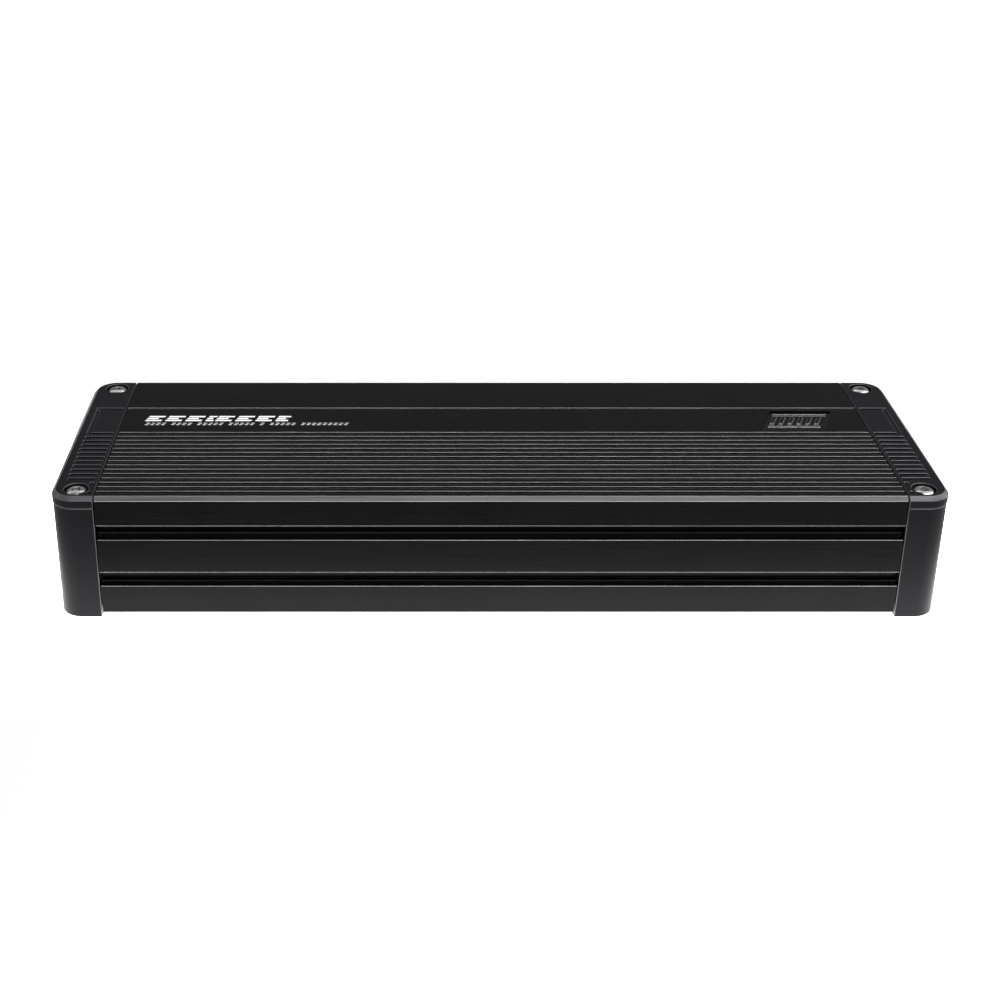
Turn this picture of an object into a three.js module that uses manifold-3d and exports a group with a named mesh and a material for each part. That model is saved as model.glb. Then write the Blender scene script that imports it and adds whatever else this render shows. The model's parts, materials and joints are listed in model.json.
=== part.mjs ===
// A four-channel car amplifier. A long finned aluminium housing is closed by a moulded end cap, a
// connector panel and a screwed lid at each end, and by a steel plate underneath. It holds one circuit board.
// Millimetres. X runs along the housing, -Y is the plain front face, +Z is up, and the origin is on the
// ground under the middle. The power and speaker terminals are at +X, the signal inputs and controls at -X.
import * as THREE from "three";
import { mergeVertices } from "three/addons/utils/BufferGeometryUtils.js";
import Module from "manifold-3d";

// Overall
const LENGTH = 353.5;
const DEPTH = 115;
const HEIGHT = 54;
const GAP = 0.3; // between pieces that rest on each other
const SEAM = 0.5; // between the housing and each end cap

// Heat-sink housing
const HOUSING_LIFT = 2.3; // its underside above the ground
const SIDE_WALL = 6.5; // front and rear walls
const EDGE_CHAMFER = 1.5; // front and rear top edges, and round the lids
const FIN_GROOVES = 15;
const FIN_PITCH = 3.9;
const FIN_GROOVE_WIDTH = 1.5;
const FIN_GROOVE_DEPTH = 6;
const FIRST_GROOVE = 4.3; // from the front face
const ROOF_UNDER_FINS = 4;
const REAR_BAND = 29.5; // plain band along the rear edge
const BAND_GROOVE_DEPTH = 1.4;
const BAND_ROOF = 5;
const SLOT_HEIGHT = 6.2; // long slots in the front and rear faces
const SLOT_DEPTH = 2.5;
const UPPER_SLOT_Z = 35.3;
const LOWER_SLOT_Z = 14.5;
const INNER_SLOT_HEIGHT = 2.8; // narrower slot at the back of each long slot
const INNER_SLOT_DEPTH = 2;
const INNER_SLOT_INSET = 1.2; // from the slot edge nearer the top or the ground
const PORT_RADIUS = 1.7; // screw ports along the housing, for the cap screws
const PORT_INSET = 8.9; // from the front and rear faces
const PORT_Z = 10.1;
const PORT_WALL = 2;

// End caps and lids
const CAP_LENGTH = 17.75; // along X
const CORNER_RADIUS = 9.5;
const LID_HEIGHT = 4.8;
const LID_PLATE = 2.6; // lid thickness between the posts
const LID_SKIRT = 3; // thickness of the lid's turned-down outer edge
const LID_OVERHANG = 0.2; // the lid stands this far outside the cap
const POST_WIDTH = 12.5; // the cap's corner posts, along Y
const SILL_HEIGHT = 5.5;
const PANEL_THICKNESS = 1.5;
const PANEL_REBATE = 2.4; // depth of the rebate that the panel sits in
const PANEL_LAP = 1.2; // the panel laps the posts and the sill by this much
const PAD_LENGTH = 11.3; // the patterned part of the lid, along X
const PAD_INSET = 1.4; // from the lid's inner edge
const PAD_GROOVE = 1.6; // groove round the pad
const LID_GROOVE_DEPTH = 1.1;
const LID_GROOVES_FROM = 3; // the lid repeats the fin grooves from this one to the last
const STUB_GROOVES = [0, 2]; // short grooves between the front screw and the seam
const STUB_LENGTH = 1.6;

// Screws
const LID_SCREW_INSET_X = 10; // from the outside end
const LID_SCREW_INSET_Y = 7.9;
const LID_SCREW = { head: 4.1, rise: 2.3, shank: 2, length: 16, socket: 2.5, bore: 4.9, sunk: 2.7 };
const CAP_SCREW = { head: 2.4, rise: 1.8, shank: 1.4, length: 20, socket: 1.6, bore: 2.9, sunk: 3 };
const PLATE_SCREW = { head: 2.2, rise: 1.5, shank: 1.2, length: 7, socket: 1.5 };
const SCREW_HOLE_SPARE = 1; // a blind hole is this much deeper than its screw
const HOLE_WALL = 0.4; // metal between a plate screw's hole and the screw port
const LID_BORE_SEGMENTS = 24;
const ROUND_SEGMENTS = 16; // sides of a round piece or hole
const THIN_SEGMENTS = 12; // and of a thin one

// Bottom plate
const PLATE_THICKNESS = 1.5;
const FOOT_WIDTH = 2.6; // each side wall's foot outside the plate's edge
const PLATE_SCREW_FROM_END = 24;

// Circuit board
const BOARD_THICKNESS = 1.6;
const BOARD_END_GAP = 2.5; // board end to panel
const BOARD_FIXING_X = 120;
const BOARD_FIXING_RADIUS = 1.6;

// Power end (+X). Across its window stand the power terminals, the speaker terminals and the fuse holder,
// and the terminals share the width that the fuse holder leaves.
const POWER_SPACING = 2.1; // between them, and to the posts
const POWER_POLES = ["ground", "remote", "battery"];
const POWER_WEB = 3.8; // plastic between two wire entries
const POWER_BLOCK_HEIGHT = 17;
const POWER_TO_SPEAKER = 14 / 9; // pitch of the power terminals over that of the speaker terminals
const SPEAKER_WEB = 2.4;
const SPEAKER_ENTRY_DEPTH = 8;
const SPEAKER_STEP = 6; // the upper tier is set back by this much
const SPEAKER_COLUMNS = 4;
const SPEAKER_BLOCK_HEIGHT = 23;
const TERMINAL_WALL = 1.4;
const TERMINAL_SCREW_MARGIN = 0.7; // wire entry beyond the screw on each side
const TERMINAL_REACH = 9; // how far connectors stand out of the panel
const TERMINAL_TAIL = 10; // how far they reach inwards over the board
const ENTRY_DEPTH = 12;
const FUSE_HOLDER_WIDTH = 16.4;
const FUSE_HOLDER_HEIGHT = 24;
const FUSE_HOLDER_REACH = 3;
const FUSE_PITCH = 8.2;
const FUSE_BODY = { length: 8, thickness: 5, width: 19 };
const FUSE_BLADE = { length: 8, thickness: 0.8, width: 5 };
const FUSE_SUNK = 2; // the fuse body sits this deep in its holder

// Signal end (-X): inputs and controls, evenly spaced across its window
const ROW_PITCH = 13; // between the two rows of jacks, knobs and switches
const RCA_PITCH_Y = 15;
const RCA_BLOCK_REACH = 0.9;
const RCA_SLEEVE = { outer: 4.15, bore: 3.1, flange: 5.4, length: 8 };
const RCA_PIN_BORE = 1.6;
const KNOB = { radius: 3.5, rise: 4.6, shaft: 1.5, flutes: 14, fluteDepth: 0.35 };
const KNOB_SLOT = { width: 1.1, depth: 1.5 };
const KNOB_CLEARANCE = 0.4;
const POT_SIZE = { depth: 7, width: 10, height: 11 };
const SWITCH_BODY = { depth: 6.5, width: 16, height: 8 };
const SLIDER = { width: 3.4, height: 3.4, rise: 3, travel: 2.2, foot: 3 };
const SLIDER_CLEARANCE = 0.4;
const LIGHT = { radius: 1.5, length: 7, rise: 1.2 };

// Parts on the board, by size
const CORE = { x: 62, length: 38, width: 26, height: 20, leg: 6, middle: 11, yoke: 4 };
const CAPACITOR = { x: 104, radius: 6.5, height: 21, pitch: 15 };
const COIL = { x: -60, across: 24, height: 16, wire: 7, pitch: 34 };
const TRANSISTOR = { width: 15.5, height: 16, thickness: 4.6, legs: 3, pitch: 52 };
const CLAMP_BAR = { height: 6, thickness: 2.4, overhang: 8 };

const halfLength = LENGTH / 2;
const halfDepth = DEPTH / 2;
const housingHalf = halfLength - CAP_LENGTH - SEAM / 2;
const capInner = halfLength - CAP_LENGTH + SEAM / 2;
const portY = halfDepth - PORT_INSET;
const shelfZ = PORT_Z + PORT_RADIUS + PORT_WALL;
const boardBottom = shelfZ + GAP;
const boardTop = boardBottom + BOARD_THICKNESS;
const innerY = halfDepth - SIDE_WALL;
const windowY = halfDepth - POST_WIDTH;
const rebateY = windowY + PANEL_LAP;
const capTop = HEIGHT - LID_HEIGHT - GAP;
const panelFace = capInner + PANEL_REBATE - GAP; // outer face of each panel
const panelBack = panelFace - PANEL_THICKNESS;
const roofFins = HEIGHT - FIN_GROOVE_DEPTH - ROOF_UNDER_FINS;
const roofBand = HEIGHT - BAND_ROOF;
const plateBottom = HOUSING_LIFT + GAP;
const plateTop = plateBottom + PLATE_THICKNESS;
const plateRoof = plateTop + GAP;
const plateScrewTop = plateBottom - GAP + PLATE_SCREW.length;
const bandGrooveY = halfDepth - REAR_BAND - FIN_GROOVE_WIDTH;
const lidScrewX = halfLength - LID_SCREW_INSET_X;
const lidScrewY = halfDepth - LID_SCREW_INSET_Y;
const lidScrewHead = HEIGHT - LID_SCREW.sunk + GAP; // underside of the head
const lidScrewFoot = lidScrewHead - LID_SCREW.length;
const capScrewHead = halfLength - LID_OVERHANG - CAP_SCREW.sunk + GAP;
const lightZ = boardTop + GAP + ROW_PITCH;

// Centres along Y of pieces that stand evenly spaced across an end window.
function rowCentres(widths) {
  const spare = 2 * windowY - widths.reduce((sum, width) => sum + width, 0);
  let edge = -windowY;
  return widths.map((width) => {
    edge += spare / (widths.length + 1) + width;
    return edge - width / 2;
  });
}

const wasm = await Module();
wasm.setup();

// --- Solids ---------------------------------------------------------------------------------------

function toSolid(geometry) {
  const plain = geometry.clone();
  plain.deleteAttribute("normal");
  plain.deleteAttribute("uv");
  const merged = mergeVertices(plain, 1e-4);
  return new wasm.Manifold(
    new wasm.Mesh({
      numProp: 3,
      vertProperties: new Float32Array(merged.attributes.position.array),
      triVerts: new Uint32Array(merged.index.array),
    }),
  );
}

function toGeometry(solid) {
  const mesh = solid.getMesh();
  const geometry = new THREE.BufferGeometry();
  geometry.setAttribute("position", new THREE.BufferAttribute(new Float32Array(mesh.vertProperties), 3));
  geometry.setIndex(new THREE.BufferAttribute(new Uint32Array(mesh.triVerts), 1));
  geometry.computeVertexNormals();
  return geometry;
}

function cut(base, tools) {
  let solid = toSolid(base);
  for (const tool of tools) {
    solid = solid.subtract(toSolid(tool));
  }
  return toGeometry(solid);
}

function overlap(a, b) {
  return toGeometry(toSolid(a).intersect(toSolid(b)));
}

function join(base, pieces) {
  let solid = toSolid(base);
  for (const piece of pieces) {
    solid = solid.add(toSolid(piece));
  }
  return toGeometry(solid);
}

// A box from its lowest to its highest corner.
function block(low, high) {
  const size = high.map((value, axis) => value - low[axis]);
  const middle = high.map((value, axis) => (value + low[axis]) / 2);
  return new THREE.BoxGeometry(...size).translate(...middle);
}

// A box centred on Y and Z that runs from x0 to x1.
function bar(x0, x1, y, z, width, height) {
  return block([x0, y - width / 2, z - height / 2], [x1, y + width / 2, z + height / 2]);
}

// A flat outline in (Y, Z), drawn out along X.
function alongX(outline, x0, x1, curveSegments = 6) {
  const geometry = new THREE.ExtrudeGeometry(outline, { depth: x1 - x0, bevelEnabled: false, curveSegments });
  const turn = new THREE.Matrix4().makeBasis(
    new THREE.Vector3(0, 1, 0),
    new THREE.Vector3(0, 0, 1),
    new THREE.Vector3(1, 0, 0),
  );
  return geometry.applyMatrix4(turn).translate(x0, 0, 0);
}

// A flat outline in (X, Y), drawn out along Z.
function alongZ(outline, z0, z1, curveSegments = 6) {
  const geometry = new THREE.ExtrudeGeometry(outline, { depth: z1 - z0, bevelEnabled: false, curveSegments });
  return geometry.translate(0, 0, z0);
}

// A round bar along X.
function rodX(x0, x1, y, z, radius, segments = ROUND_SEGMENTS) {
  const rod = new THREE.CylinderGeometry(radius, radius, x1 - x0, segments);
  return rod.rotateZ(-Math.PI / 2).translate((x0 + x1) / 2, y, z);
}

// A round bar along Z.
function rodZ(x, y, z0, z1, radius, segments = ROUND_SEGMENTS) {
  const rod = new THREE.CylinderGeometry(radius, radius, z1 - z0, segments);
  return rod.rotateX(Math.PI / 2).translate(x, y, (z0 + z1) / 2);
}

function outlineFrom(points) {
  return new THREE.Shape(points.map(([x, y]) => new THREE.Vector2(x, y)));
}

// A screw that points down -Z with its head's top at the origin, and a hexagon socket in the head.
function screwShape({ head, rise, shank, length, socket }) {
  const dome = rise * 0.35;
  const profile = [
    [0, -rise - length],
    [shank - 0.5, -rise - length],
    [shank, -rise - length + 0.6],
    [shank, -rise],
    [head, -rise],
    [head, -rise + 0.5],
    [head * 0.9, -dome * 0.9],
    [head * 0.6, 0],
    [0, 0],
  ];
  const body = new THREE.LatheGeometry(
    profile.map(([r, z]) => new THREE.Vector2(r, z)),
    ROUND_SEGMENTS,
  ).rotateX(Math.PI / 2);
  const hexagon = rodZ(0, 0, -rise * 0.65, 1, socket / Math.sqrt(3), 6);
  return cut(body, [hexagon]);
}

// --- Finishes -------------------------------------------------------------------------------------

const FINISHES = {
  anodised: { color: 0x1b1c1d, roughness: 0.42, metalness: 0.85 },
  moulded: { color: 0x1d1c1f, roughness: 0.6, metalness: 0 },
  stainless: { color: 0xb9b8b5, roughness: 0.25, metalness: 1 },
  blackSteel: { color: 0x151515, roughness: 0.55, metalness: 0.6 },
  board: { color: 0x123b26, roughness: 0.5, metalness: 0 },
  copper: { color: 0xb5602c, roughness: 0.35, metalness: 1 },
  ferrite: { color: 0x2f2f33, roughness: 0.7, metalness: 0.1 },
  sleeve: { color: 0x141a2c, roughness: 0.35, metalness: 0 },
  epoxy: { color: 0x111112, roughness: 0.45, metalness: 0 },
  aluminium: { color: 0xa8abae, roughness: 0.4, metalness: 1 },
  nickel: { color: 0xc9b27a, roughness: 0.25, metalness: 1 },
  blackPlastic: { color: 0x111111, roughness: 0.5, metalness: 0 },
  fuse: { color: 0xb8501e, roughness: 0.2, metalness: 0 },
  light: { color: 0x2f6fd8, roughness: 0.2, metalness: 0 },
};

const amplifier = new THREE.Group();

function addPiece(name, geometry, finish, parent = amplifier) {
  const mesh = new THREE.Mesh(geometry, new THREE.MeshStandardMaterial(FINISHES[finish]));
  mesh.name = name;
  parent.add(mesh);
  return mesh;
}

// --- Heat-sink housing ----------------------------------------------------------------------------

// Corners of one stepped slot in a side wall, from its lower lip to its upper lip. The side is -1 for the
// front wall and 1 for the rear one. The narrower slot lies towards the middle of the face.
function slotCorners(side, slotZ, innerZ) {
  const face = side * halfDepth;
  const back = face - side * SLOT_DEPTH;
  const deep = back - side * INNER_SLOT_DEPTH;
  return [
    [face, slotZ],
    [back, slotZ],
    [back, innerZ],
    [deep, innerZ],
    [deep, innerZ + INNER_SLOT_HEIGHT],
    [back, innerZ + INNER_SLOT_HEIGHT],
    [back, slotZ + SLOT_HEIGHT],
    [face, slotZ + SLOT_HEIGHT],
  ];
}

function sideCorners(side) {
  const upperInner = UPPER_SLOT_Z + SLOT_HEIGHT - INNER_SLOT_INSET - INNER_SLOT_HEIGHT;
  const lowerInner = LOWER_SLOT_Z + INNER_SLOT_INSET;
  return [
    [side * halfDepth, HOUSING_LIFT],
    ...slotCorners(side, LOWER_SLOT_Z, lowerInner),
    ...slotCorners(side, UPPER_SLOT_Z, upperInner),
  ];
}

function grooveCorners(y, width, depth) {
  return [
    [y, HEIGHT],
    [y, HEIGHT - depth],
    [y + width, HEIGHT - depth],
    [y + width, HEIGHT],
  ];
}

function finGrooveY(index) {
  return -halfDepth + FIRST_GROOVE + index * FIN_PITCH;
}

function topCorners() {
  const corners = [
    [-halfDepth, HEIGHT - EDGE_CHAMFER],
    [-halfDepth + EDGE_CHAMFER, HEIGHT],
  ];
  for (let i = 0; i < FIN_GROOVES; i += 1) {
    corners.push(...grooveCorners(finGrooveY(i), FIN_GROOVE_WIDTH, FIN_GROOVE_DEPTH));
  }
  corners.push(...grooveCorners(bandGrooveY, FIN_GROOVE_WIDTH, BAND_GROOVE_DEPTH));
  corners.push([halfDepth - EDGE_CHAMFER, HEIGHT]);
  corners.push([halfDepth, HEIGHT - EDGE_CHAMFER]);
  return corners;
}

// The inside of the housing: feet that the bottom plate laps, screw-port shelves that carry the board,
// and a roof that is lower under the fins than under the plain band.
function insideCorners() {
  const shelfY = portY - PORT_RADIUS - PORT_WALL;
  const footY = halfDepth - FOOT_WIDTH;
  const portFoot = PORT_Z - PORT_RADIUS - PORT_WALL;
  const stepY = finGrooveY(FIN_GROOVES - 1) + FIN_GROOVE_WIDTH + ROOF_UNDER_FINS;
  return [
    [footY, HOUSING_LIFT],
    [footY, plateRoof],
    [shelfY, portFoot],
    [shelfY, shelfZ],
    [innerY, shelfZ],
    [innerY, roofBand],
    [stepY, roofBand],
    [stepY, roofFins],
    [-innerY, roofFins],
    [-innerY, shelfZ],
    [-shelfY, shelfZ],
    [-shelfY, portFoot],
    [-footY, plateRoof],
    [-footY, HOUSING_LIFT],
  ];
}

function heatSink() {
  const outline = outlineFrom([
    ...sideCorners(-1),
    ...topCorners(),
    ...sideCorners(1).reverse(),
    ...insideCorners(),
  ]);
  const ports = [-1, 1].map((side) =>
    rodX(-housingHalf - 1, housingHalf + 1, side * portY, PORT_Z, PORT_RADIUS, THIN_SEGMENTS),
  );
  const pilots = plateScrewPlaces().map(([, x, y]) =>
    rodZ(x, y, 0, plateScrewTop + SCREW_HOLE_SPARE, PLATE_SCREW.shank + GAP, THIN_SEGMENTS),
  );
  return cut(alongX(outline, -housingHalf, housingHalf), [...ports, ...pilots]);
}

// --- Bottom plate ---------------------------------------------------------------------------------

function plateScrewPlaces() {
  const x = housingHalf - PLATE_SCREW_FROM_END;
  const y = portY + PORT_RADIUS + HOLE_WALL + PLATE_SCREW.shank + GAP;
  return [
    ["front_left", -x, -y],
    ["front_right", x, -y],
    ["rear_right", x, y],
    ["rear_left", -x, y],
  ];
}

function bottomPlate() {
  const edge = halfDepth - FOOT_WIDTH - GAP;
  const plate = block([-housingHalf, -edge, plateBottom], [housingHalf, edge, plateTop]);
  const holes = plateScrewPlaces().map(([, x, y]) =>
    rodZ(x, y, plateBottom - 1, plateTop + 1, PLATE_SCREW.shank + GAP),
  );
  return cut(plate, holes);
}

// --- End caps and lids, all built at the +X end ----------------------------------------------------

// A plan with rounded outer corners. It runs from the inner edge to the outer one.
function endOutline(inner, outer, halfWidth, radius) {
  const outline = new THREE.Shape();
  outline.moveTo(inner, -halfWidth);
  outline.lineTo(outer - radius, -halfWidth);
  outline.absarc(outer - radius, -halfWidth + radius, radius, -Math.PI / 2, 0, false);
  outline.absarc(outer - radius, halfWidth - radius, radius, 0, Math.PI / 2, false);
  outline.lineTo(inner, halfWidth);
  return outline;
}

function endCap() {
  const outer = halfLength - LID_OVERHANG;
  const halfWidth = halfDepth - LID_OVERHANG;
  const outline = endOutline(capInner, outer, halfWidth, CORNER_RADIUS - LID_OVERHANG);
  const window = block([capInner - 1, -windowY, SILL_HEIGHT], [outer + 1, windowY, capTop + 1]);
  const rebate = block(
    [capInner - 1, -rebateY, SILL_HEIGHT - PANEL_LAP],
    [capInner + PANEL_REBATE, rebateY, capTop + 1],
  );
  const holes = [];
  for (const side of [-1, 1]) {
    const lidY = side * lidScrewY;
    const capY = side * portY;
    holes.push(rodZ(lidScrewX, lidY, lidScrewFoot - SCREW_HOLE_SPARE, capTop + 1, LID_SCREW.shank + GAP));
    holes.push(rodX(capInner - 1, outer + 1, capY, PORT_Z, CAP_SCREW.shank + GAP));
    holes.push(rodX(outer - CAP_SCREW.sunk, outer + 1, capY, PORT_Z, CAP_SCREW.bore));
  }
  return cut(alongZ(outline, 0, capTop), [window, rebate, ...holes]);
}

// The lid's top repeats the housing's fin grooves and its plain pad between two screws.
function lidGrooves() {
  const inner = capInner + PAD_INSET;
  const outer = inner + PAD_LENGTH;
  const groove = (y, x0, x1, width) =>
    block([x0, y, HEIGHT - LID_GROOVE_DEPTH], [x1, y + width, HEIGHT + 1]);
  const grooves = [groove(bandGrooveY, inner, outer, FIN_GROOVE_WIDTH)];
  for (let i = LID_GROOVES_FROM; i < FIN_GROOVES; i += 1) {
    grooves.push(groove(finGrooveY(i), inner, outer, FIN_GROOVE_WIDTH));
  }
  for (const i of STUB_GROOVES) {
    grooves.push(groove(finGrooveY(i), inner, inner + STUB_LENGTH, FIN_GROOVE_WIDTH));
  }
  const padStart = finGrooveY(FIN_GROOVES - 1);
  const padWidth = bandGrooveY + FIN_GROOVE_WIDTH - padStart;
  grooves.push(groove(padStart, outer - PAD_GROOVE, outer, padWidth));
  return grooves;
}

function lid() {
  const inset = EDGE_CHAMFER;
  const outline = endOutline(
    capInner - CAP_LENGTH,
    halfLength - inset,
    halfDepth - inset,
    CORNER_RADIUS - inset,
  );
  const chamfered = new THREE.ExtrudeGeometry(outline, {
    depth: LID_HEIGHT,
    bevelSize: EDGE_CHAMFER,
    bevelThickness: EDGE_CHAMFER,
    bevelSegments: 1,
    curveSegments: 6,
  }).translate(0, 0, HEIGHT - EDGE_CHAMFER - LID_HEIGHT);
  const body = block([capInner, -DEPTH, HEIGHT - LID_HEIGHT], [LENGTH, DEPTH, HEIGHT + 1]);
  const hollow = block(
    [capInner - 1, -windowY, 0],
    [halfLength - LID_SKIRT, windowY, HEIGHT - LID_PLATE],
  );
  const panelRoom = block(
    [capInner - 1, -rebateY, 0],
    [capInner + PANEL_REBATE, rebateY, HEIGHT - LID_PLATE],
  );
  const holes = [];
  for (const side of [-1, 1]) {
    const y = side * lidScrewY;
    holes.push(rodZ(lidScrewX, y, 0, HEIGHT + 1, LID_SCREW.shank + GAP));
    holes.push(rodZ(lidScrewX, y, HEIGHT - LID_SCREW.sunk, HEIGHT + 1, LID_SCREW.bore, LID_BORE_SEGMENTS));
  }
  return cut(overlap(chamfered, body), [hollow, panelRoom, ...lidGrooves(), ...holes]);
}

// --- Connector panels -----------------------------------------------------------------------------

function panel(openings) {
  const halfWidth = rebateY - GAP;
  const low = [panelBack, -halfWidth, SILL_HEIGHT - PANEL_LAP + GAP];
  const high = [panelFace, halfWidth, HEIGHT - LID_PLATE - GAP];
  return cut(block(low, high), openings);
}

// A rectangular hole in a panel, larger all round by the clearance.
function panelWindow(y, z, width, height, clearance = GAP) {
  return bar(panelBack - 1, panelFace + 1, y, z, width + 2 * clearance, height + 2 * clearance);
}

// --- Power end: terminals and fuses ----------------------------------------------------------------

const connectorBase = boardTop + GAP;
const connectorBack = panelBack - TERMINAL_TAIL;
const terminalFace = panelFace + TERMINAL_REACH;
const terminalRoom = 2 * windowY - FUSE_HOLDER_WIDTH - 4 * POWER_SPACING - 2 * TERMINAL_WALL;
const speakerPitch = terminalRoom / (POWER_POLES.length * POWER_TO_SPEAKER + SPEAKER_COLUMNS);
const speakerEntry = speakerPitch - SPEAKER_WEB;
const speakerWidth = SPEAKER_COLUMNS * speakerPitch + TERMINAL_WALL;
const powerPitch = POWER_TO_SPEAKER * speakerPitch;
const powerEntry = powerPitch - POWER_WEB;
const powerWidth = POWER_POLES.length * powerPitch + TERMINAL_WALL;
const [powerY, speakerY, fuseHolderY] = rowCentres([powerWidth, speakerWidth, FUSE_HOLDER_WIDTH]);
const powerEntryZ = connectorBase + TERMINAL_WALL + powerEntry / 2;
const powerScrewRadius = powerEntry / 2 - TERMINAL_SCREW_MARGIN;
const powerScrewX = terminalFace - powerScrewRadius - 2 * TERMINAL_WALL;

// Centres along Y of the columns of a terminal block.
function columnCentres(middle, count, pitch) {
  return Array.from({ length: count }, (_, i) => middle + (i - (count - 1) / 2) * pitch);
}

const powerPoles = columnCentres(powerY, POWER_POLES.length, powerPitch);
const speakerColumns = columnCentres(speakerY, SPEAKER_COLUMNS, speakerPitch);

function powerTerminalBlock() {
  const body = bar(
    connectorBack,
    terminalFace,
    powerY,
    connectorBase + POWER_BLOCK_HEIGHT / 2,
    powerWidth,
    POWER_BLOCK_HEIGHT,
  );
  const holes = [];
  for (const y of powerPoles) {
    holes.push(bar(terminalFace - ENTRY_DEPTH, terminalFace + 1, y, powerEntryZ, powerEntry, powerEntry));
    holes.push(rodZ(powerScrewX, y, powerEntryZ, HEIGHT, powerScrewRadius + GAP));
  }
  return cut(body, holes);
}

// A headless screw with a hexagon socket, just above the wire entry that it closes on.
function powerTerminalScrew(y) {
  const foot = powerEntryZ + powerEntry / 2 + GAP;
  const top = connectorBase + POWER_BLOCK_HEIGHT - TERMINAL_WALL;
  const body = rodZ(powerScrewX, y, foot, top, powerScrewRadius);
  return cut(body, [rodZ(powerScrewX, y, (foot + top) / 2, top + 1, powerScrewRadius / 2, 6)]);
}

const speakerStepZ = connectorBase + SPEAKER_BLOCK_HEIGHT / 2;
const speakerUpperFace = terminalFace - SPEAKER_STEP;
const speakerEntries = [
  [terminalFace, connectorBase + TERMINAL_WALL + speakerEntry / 2, speakerStepZ],
  [speakerUpperFace, speakerStepZ + TERMINAL_WALL + speakerEntry / 2, connectorBase + SPEAKER_BLOCK_HEIGHT],
];

// Two tiers of wire entries, the upper one set back so that both rows of screws are reached from above.
function speakerTerminalBlock() {
  const left = speakerY - speakerWidth / 2;
  const right = speakerY + speakerWidth / 2;
  const screwRadius = speakerEntry / 2 - TERMINAL_SCREW_MARGIN;
  const lower = block([connectorBack, left, connectorBase], [terminalFace, right, speakerStepZ]);
  const top = connectorBase + SPEAKER_BLOCK_HEIGHT;
  const upper = block([connectorBack, left, speakerStepZ - 1], [speakerUpperFace, right, top]);
  const holes = [];
  for (const [face, entryZ, tierTop] of speakerEntries) {
    for (const y of speakerColumns) {
      holes.push(bar(face - SPEAKER_ENTRY_DEPTH, face + 1, y, entryZ, speakerEntry, speakerEntry));
      const x = face - SPEAKER_STEP / 2;
      holes.push(rodZ(x, y, entryZ, tierTop + 1, screwRadius, THIN_SEGMENTS));
    }
  }
  return cut(join(lower, [upper]), holes);
}

const fuseZ = connectorBase + FUSE_HOLDER_HEIGHT / 2;
const fuseHolderFace = panelFace + FUSE_HOLDER_REACH;
const fuseSeat = fuseHolderFace - FUSE_SUNK;
const bladeOffset = FUSE_BODY.width / 2 - FUSE_BLADE.width / 2 - 1;

function fusePlaces() {
  return [fuseHolderY - FUSE_PITCH / 2, fuseHolderY + FUSE_PITCH / 2];
}

function fuseHolder() {
  const body = bar(connectorBack, fuseHolderFace, fuseHolderY, fuseZ, FUSE_HOLDER_WIDTH, FUSE_HOLDER_HEIGHT);
  const room = 2 * GAP;
  const holes = [];
  for (const y of fusePlaces()) {
    const pocketTop = fuseHolderFace + 1;
    holes.push(bar(fuseSeat, pocketTop, y, fuseZ, FUSE_BODY.thickness + room, FUSE_BODY.width + room));
    for (const side of [-1, 1]) {
      const bladeZ = fuseZ + side * bladeOffset;
      const slotBack = fuseSeat - FUSE_BLADE.length;
      holes.push(bar(slotBack, pocketTop, y, bladeZ, FUSE_BLADE.thickness + room, FUSE_BLADE.width + room));
    }
  }
  return cut(body, holes);
}

// A blade fuse: a waisted grip with two blades that push into the holder.
function fuse(y) {
  const back = fuseSeat + GAP;
  const face = back + FUSE_BODY.length;
  const body = bar(back, face, y, fuseZ, FUSE_BODY.thickness, FUSE_BODY.width);
  const waist = [-1, 1].map((side) =>
    bar(back + 2, face - 2, y + side * FUSE_BODY.thickness / 2, fuseZ, 1.2, FUSE_BODY.width - 4),
  );
  const { length, thickness, width } = FUSE_BLADE;
  const blades = [-1, 1].map((side) =>
    bar(back - length, back + 1, y, fuseZ + side * bladeOffset, thickness, width),
  );
  return join(cut(body, waist), blades);
}

// --- Signal end: inputs and controls ----------------------------------------------------------------

const rowZ = [connectorBase + ROW_PITCH / 2, connectorBase + (3 * ROW_PITCH) / 2];
const rcaFace = panelFace + RCA_BLOCK_REACH;
const [rcaY, gainY, crossoverY, switchY, lightY] = rowCentres([
  2 * RCA_PITCH_Y,
  POT_SIZE.width,
  POT_SIZE.width,
  SWITCH_BODY.width,
  2 * LIGHT.radius,
]);

function rcaPlaces() {
  const places = [];
  for (const z of rowZ) {
    for (const side of [-1, 1]) {
      places.push([rcaY + (side * RCA_PITCH_Y) / 2, z]);
    }
  }
  return places;
}

// The input block: one moulding with a hollow insulating post inside each metal sleeve.
function rcaBlock() {
  const height = 2 * ROW_PITCH;
  const width = 2 * RCA_PITCH_Y;
  const body = bar(connectorBack, rcaFace, rcaY, connectorBase + height / 2, width, height);
  const postEnd = rcaFace + RCA_SLEEVE.length - 1;
  const posts = rcaPlaces().map(([y, z]) => rodX(rcaFace - 1, postEnd, y, z, RCA_SLEEVE.bore - GAP));
  const holes = rcaPlaces().map(([y, z]) => rodX(rcaFace, postEnd + 1, y, z, RCA_PIN_BORE, THIN_SEGMENTS));
  return cut(join(body, posts), holes);
}

function rcaSleeve(y, z) {
  const { outer, bore, flange, length } = RCA_SLEEVE;
  const profile = [
    [bore, GAP],
    [flange, GAP],
    [flange, GAP + 1],
    [outer, GAP + 1.4],
    [outer, length - 0.5],
    [outer - 0.4, length],
    [bore, length],
    [bore, GAP],
  ].map(([r, x]) => new THREE.Vector2(r, x));
  const ring = new THREE.LatheGeometry(profile, ROUND_SEGMENTS);
  return ring.rotateZ(-Math.PI / 2).translate(rcaFace, y, z);
}

const potFace = panelBack - GAP;

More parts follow.
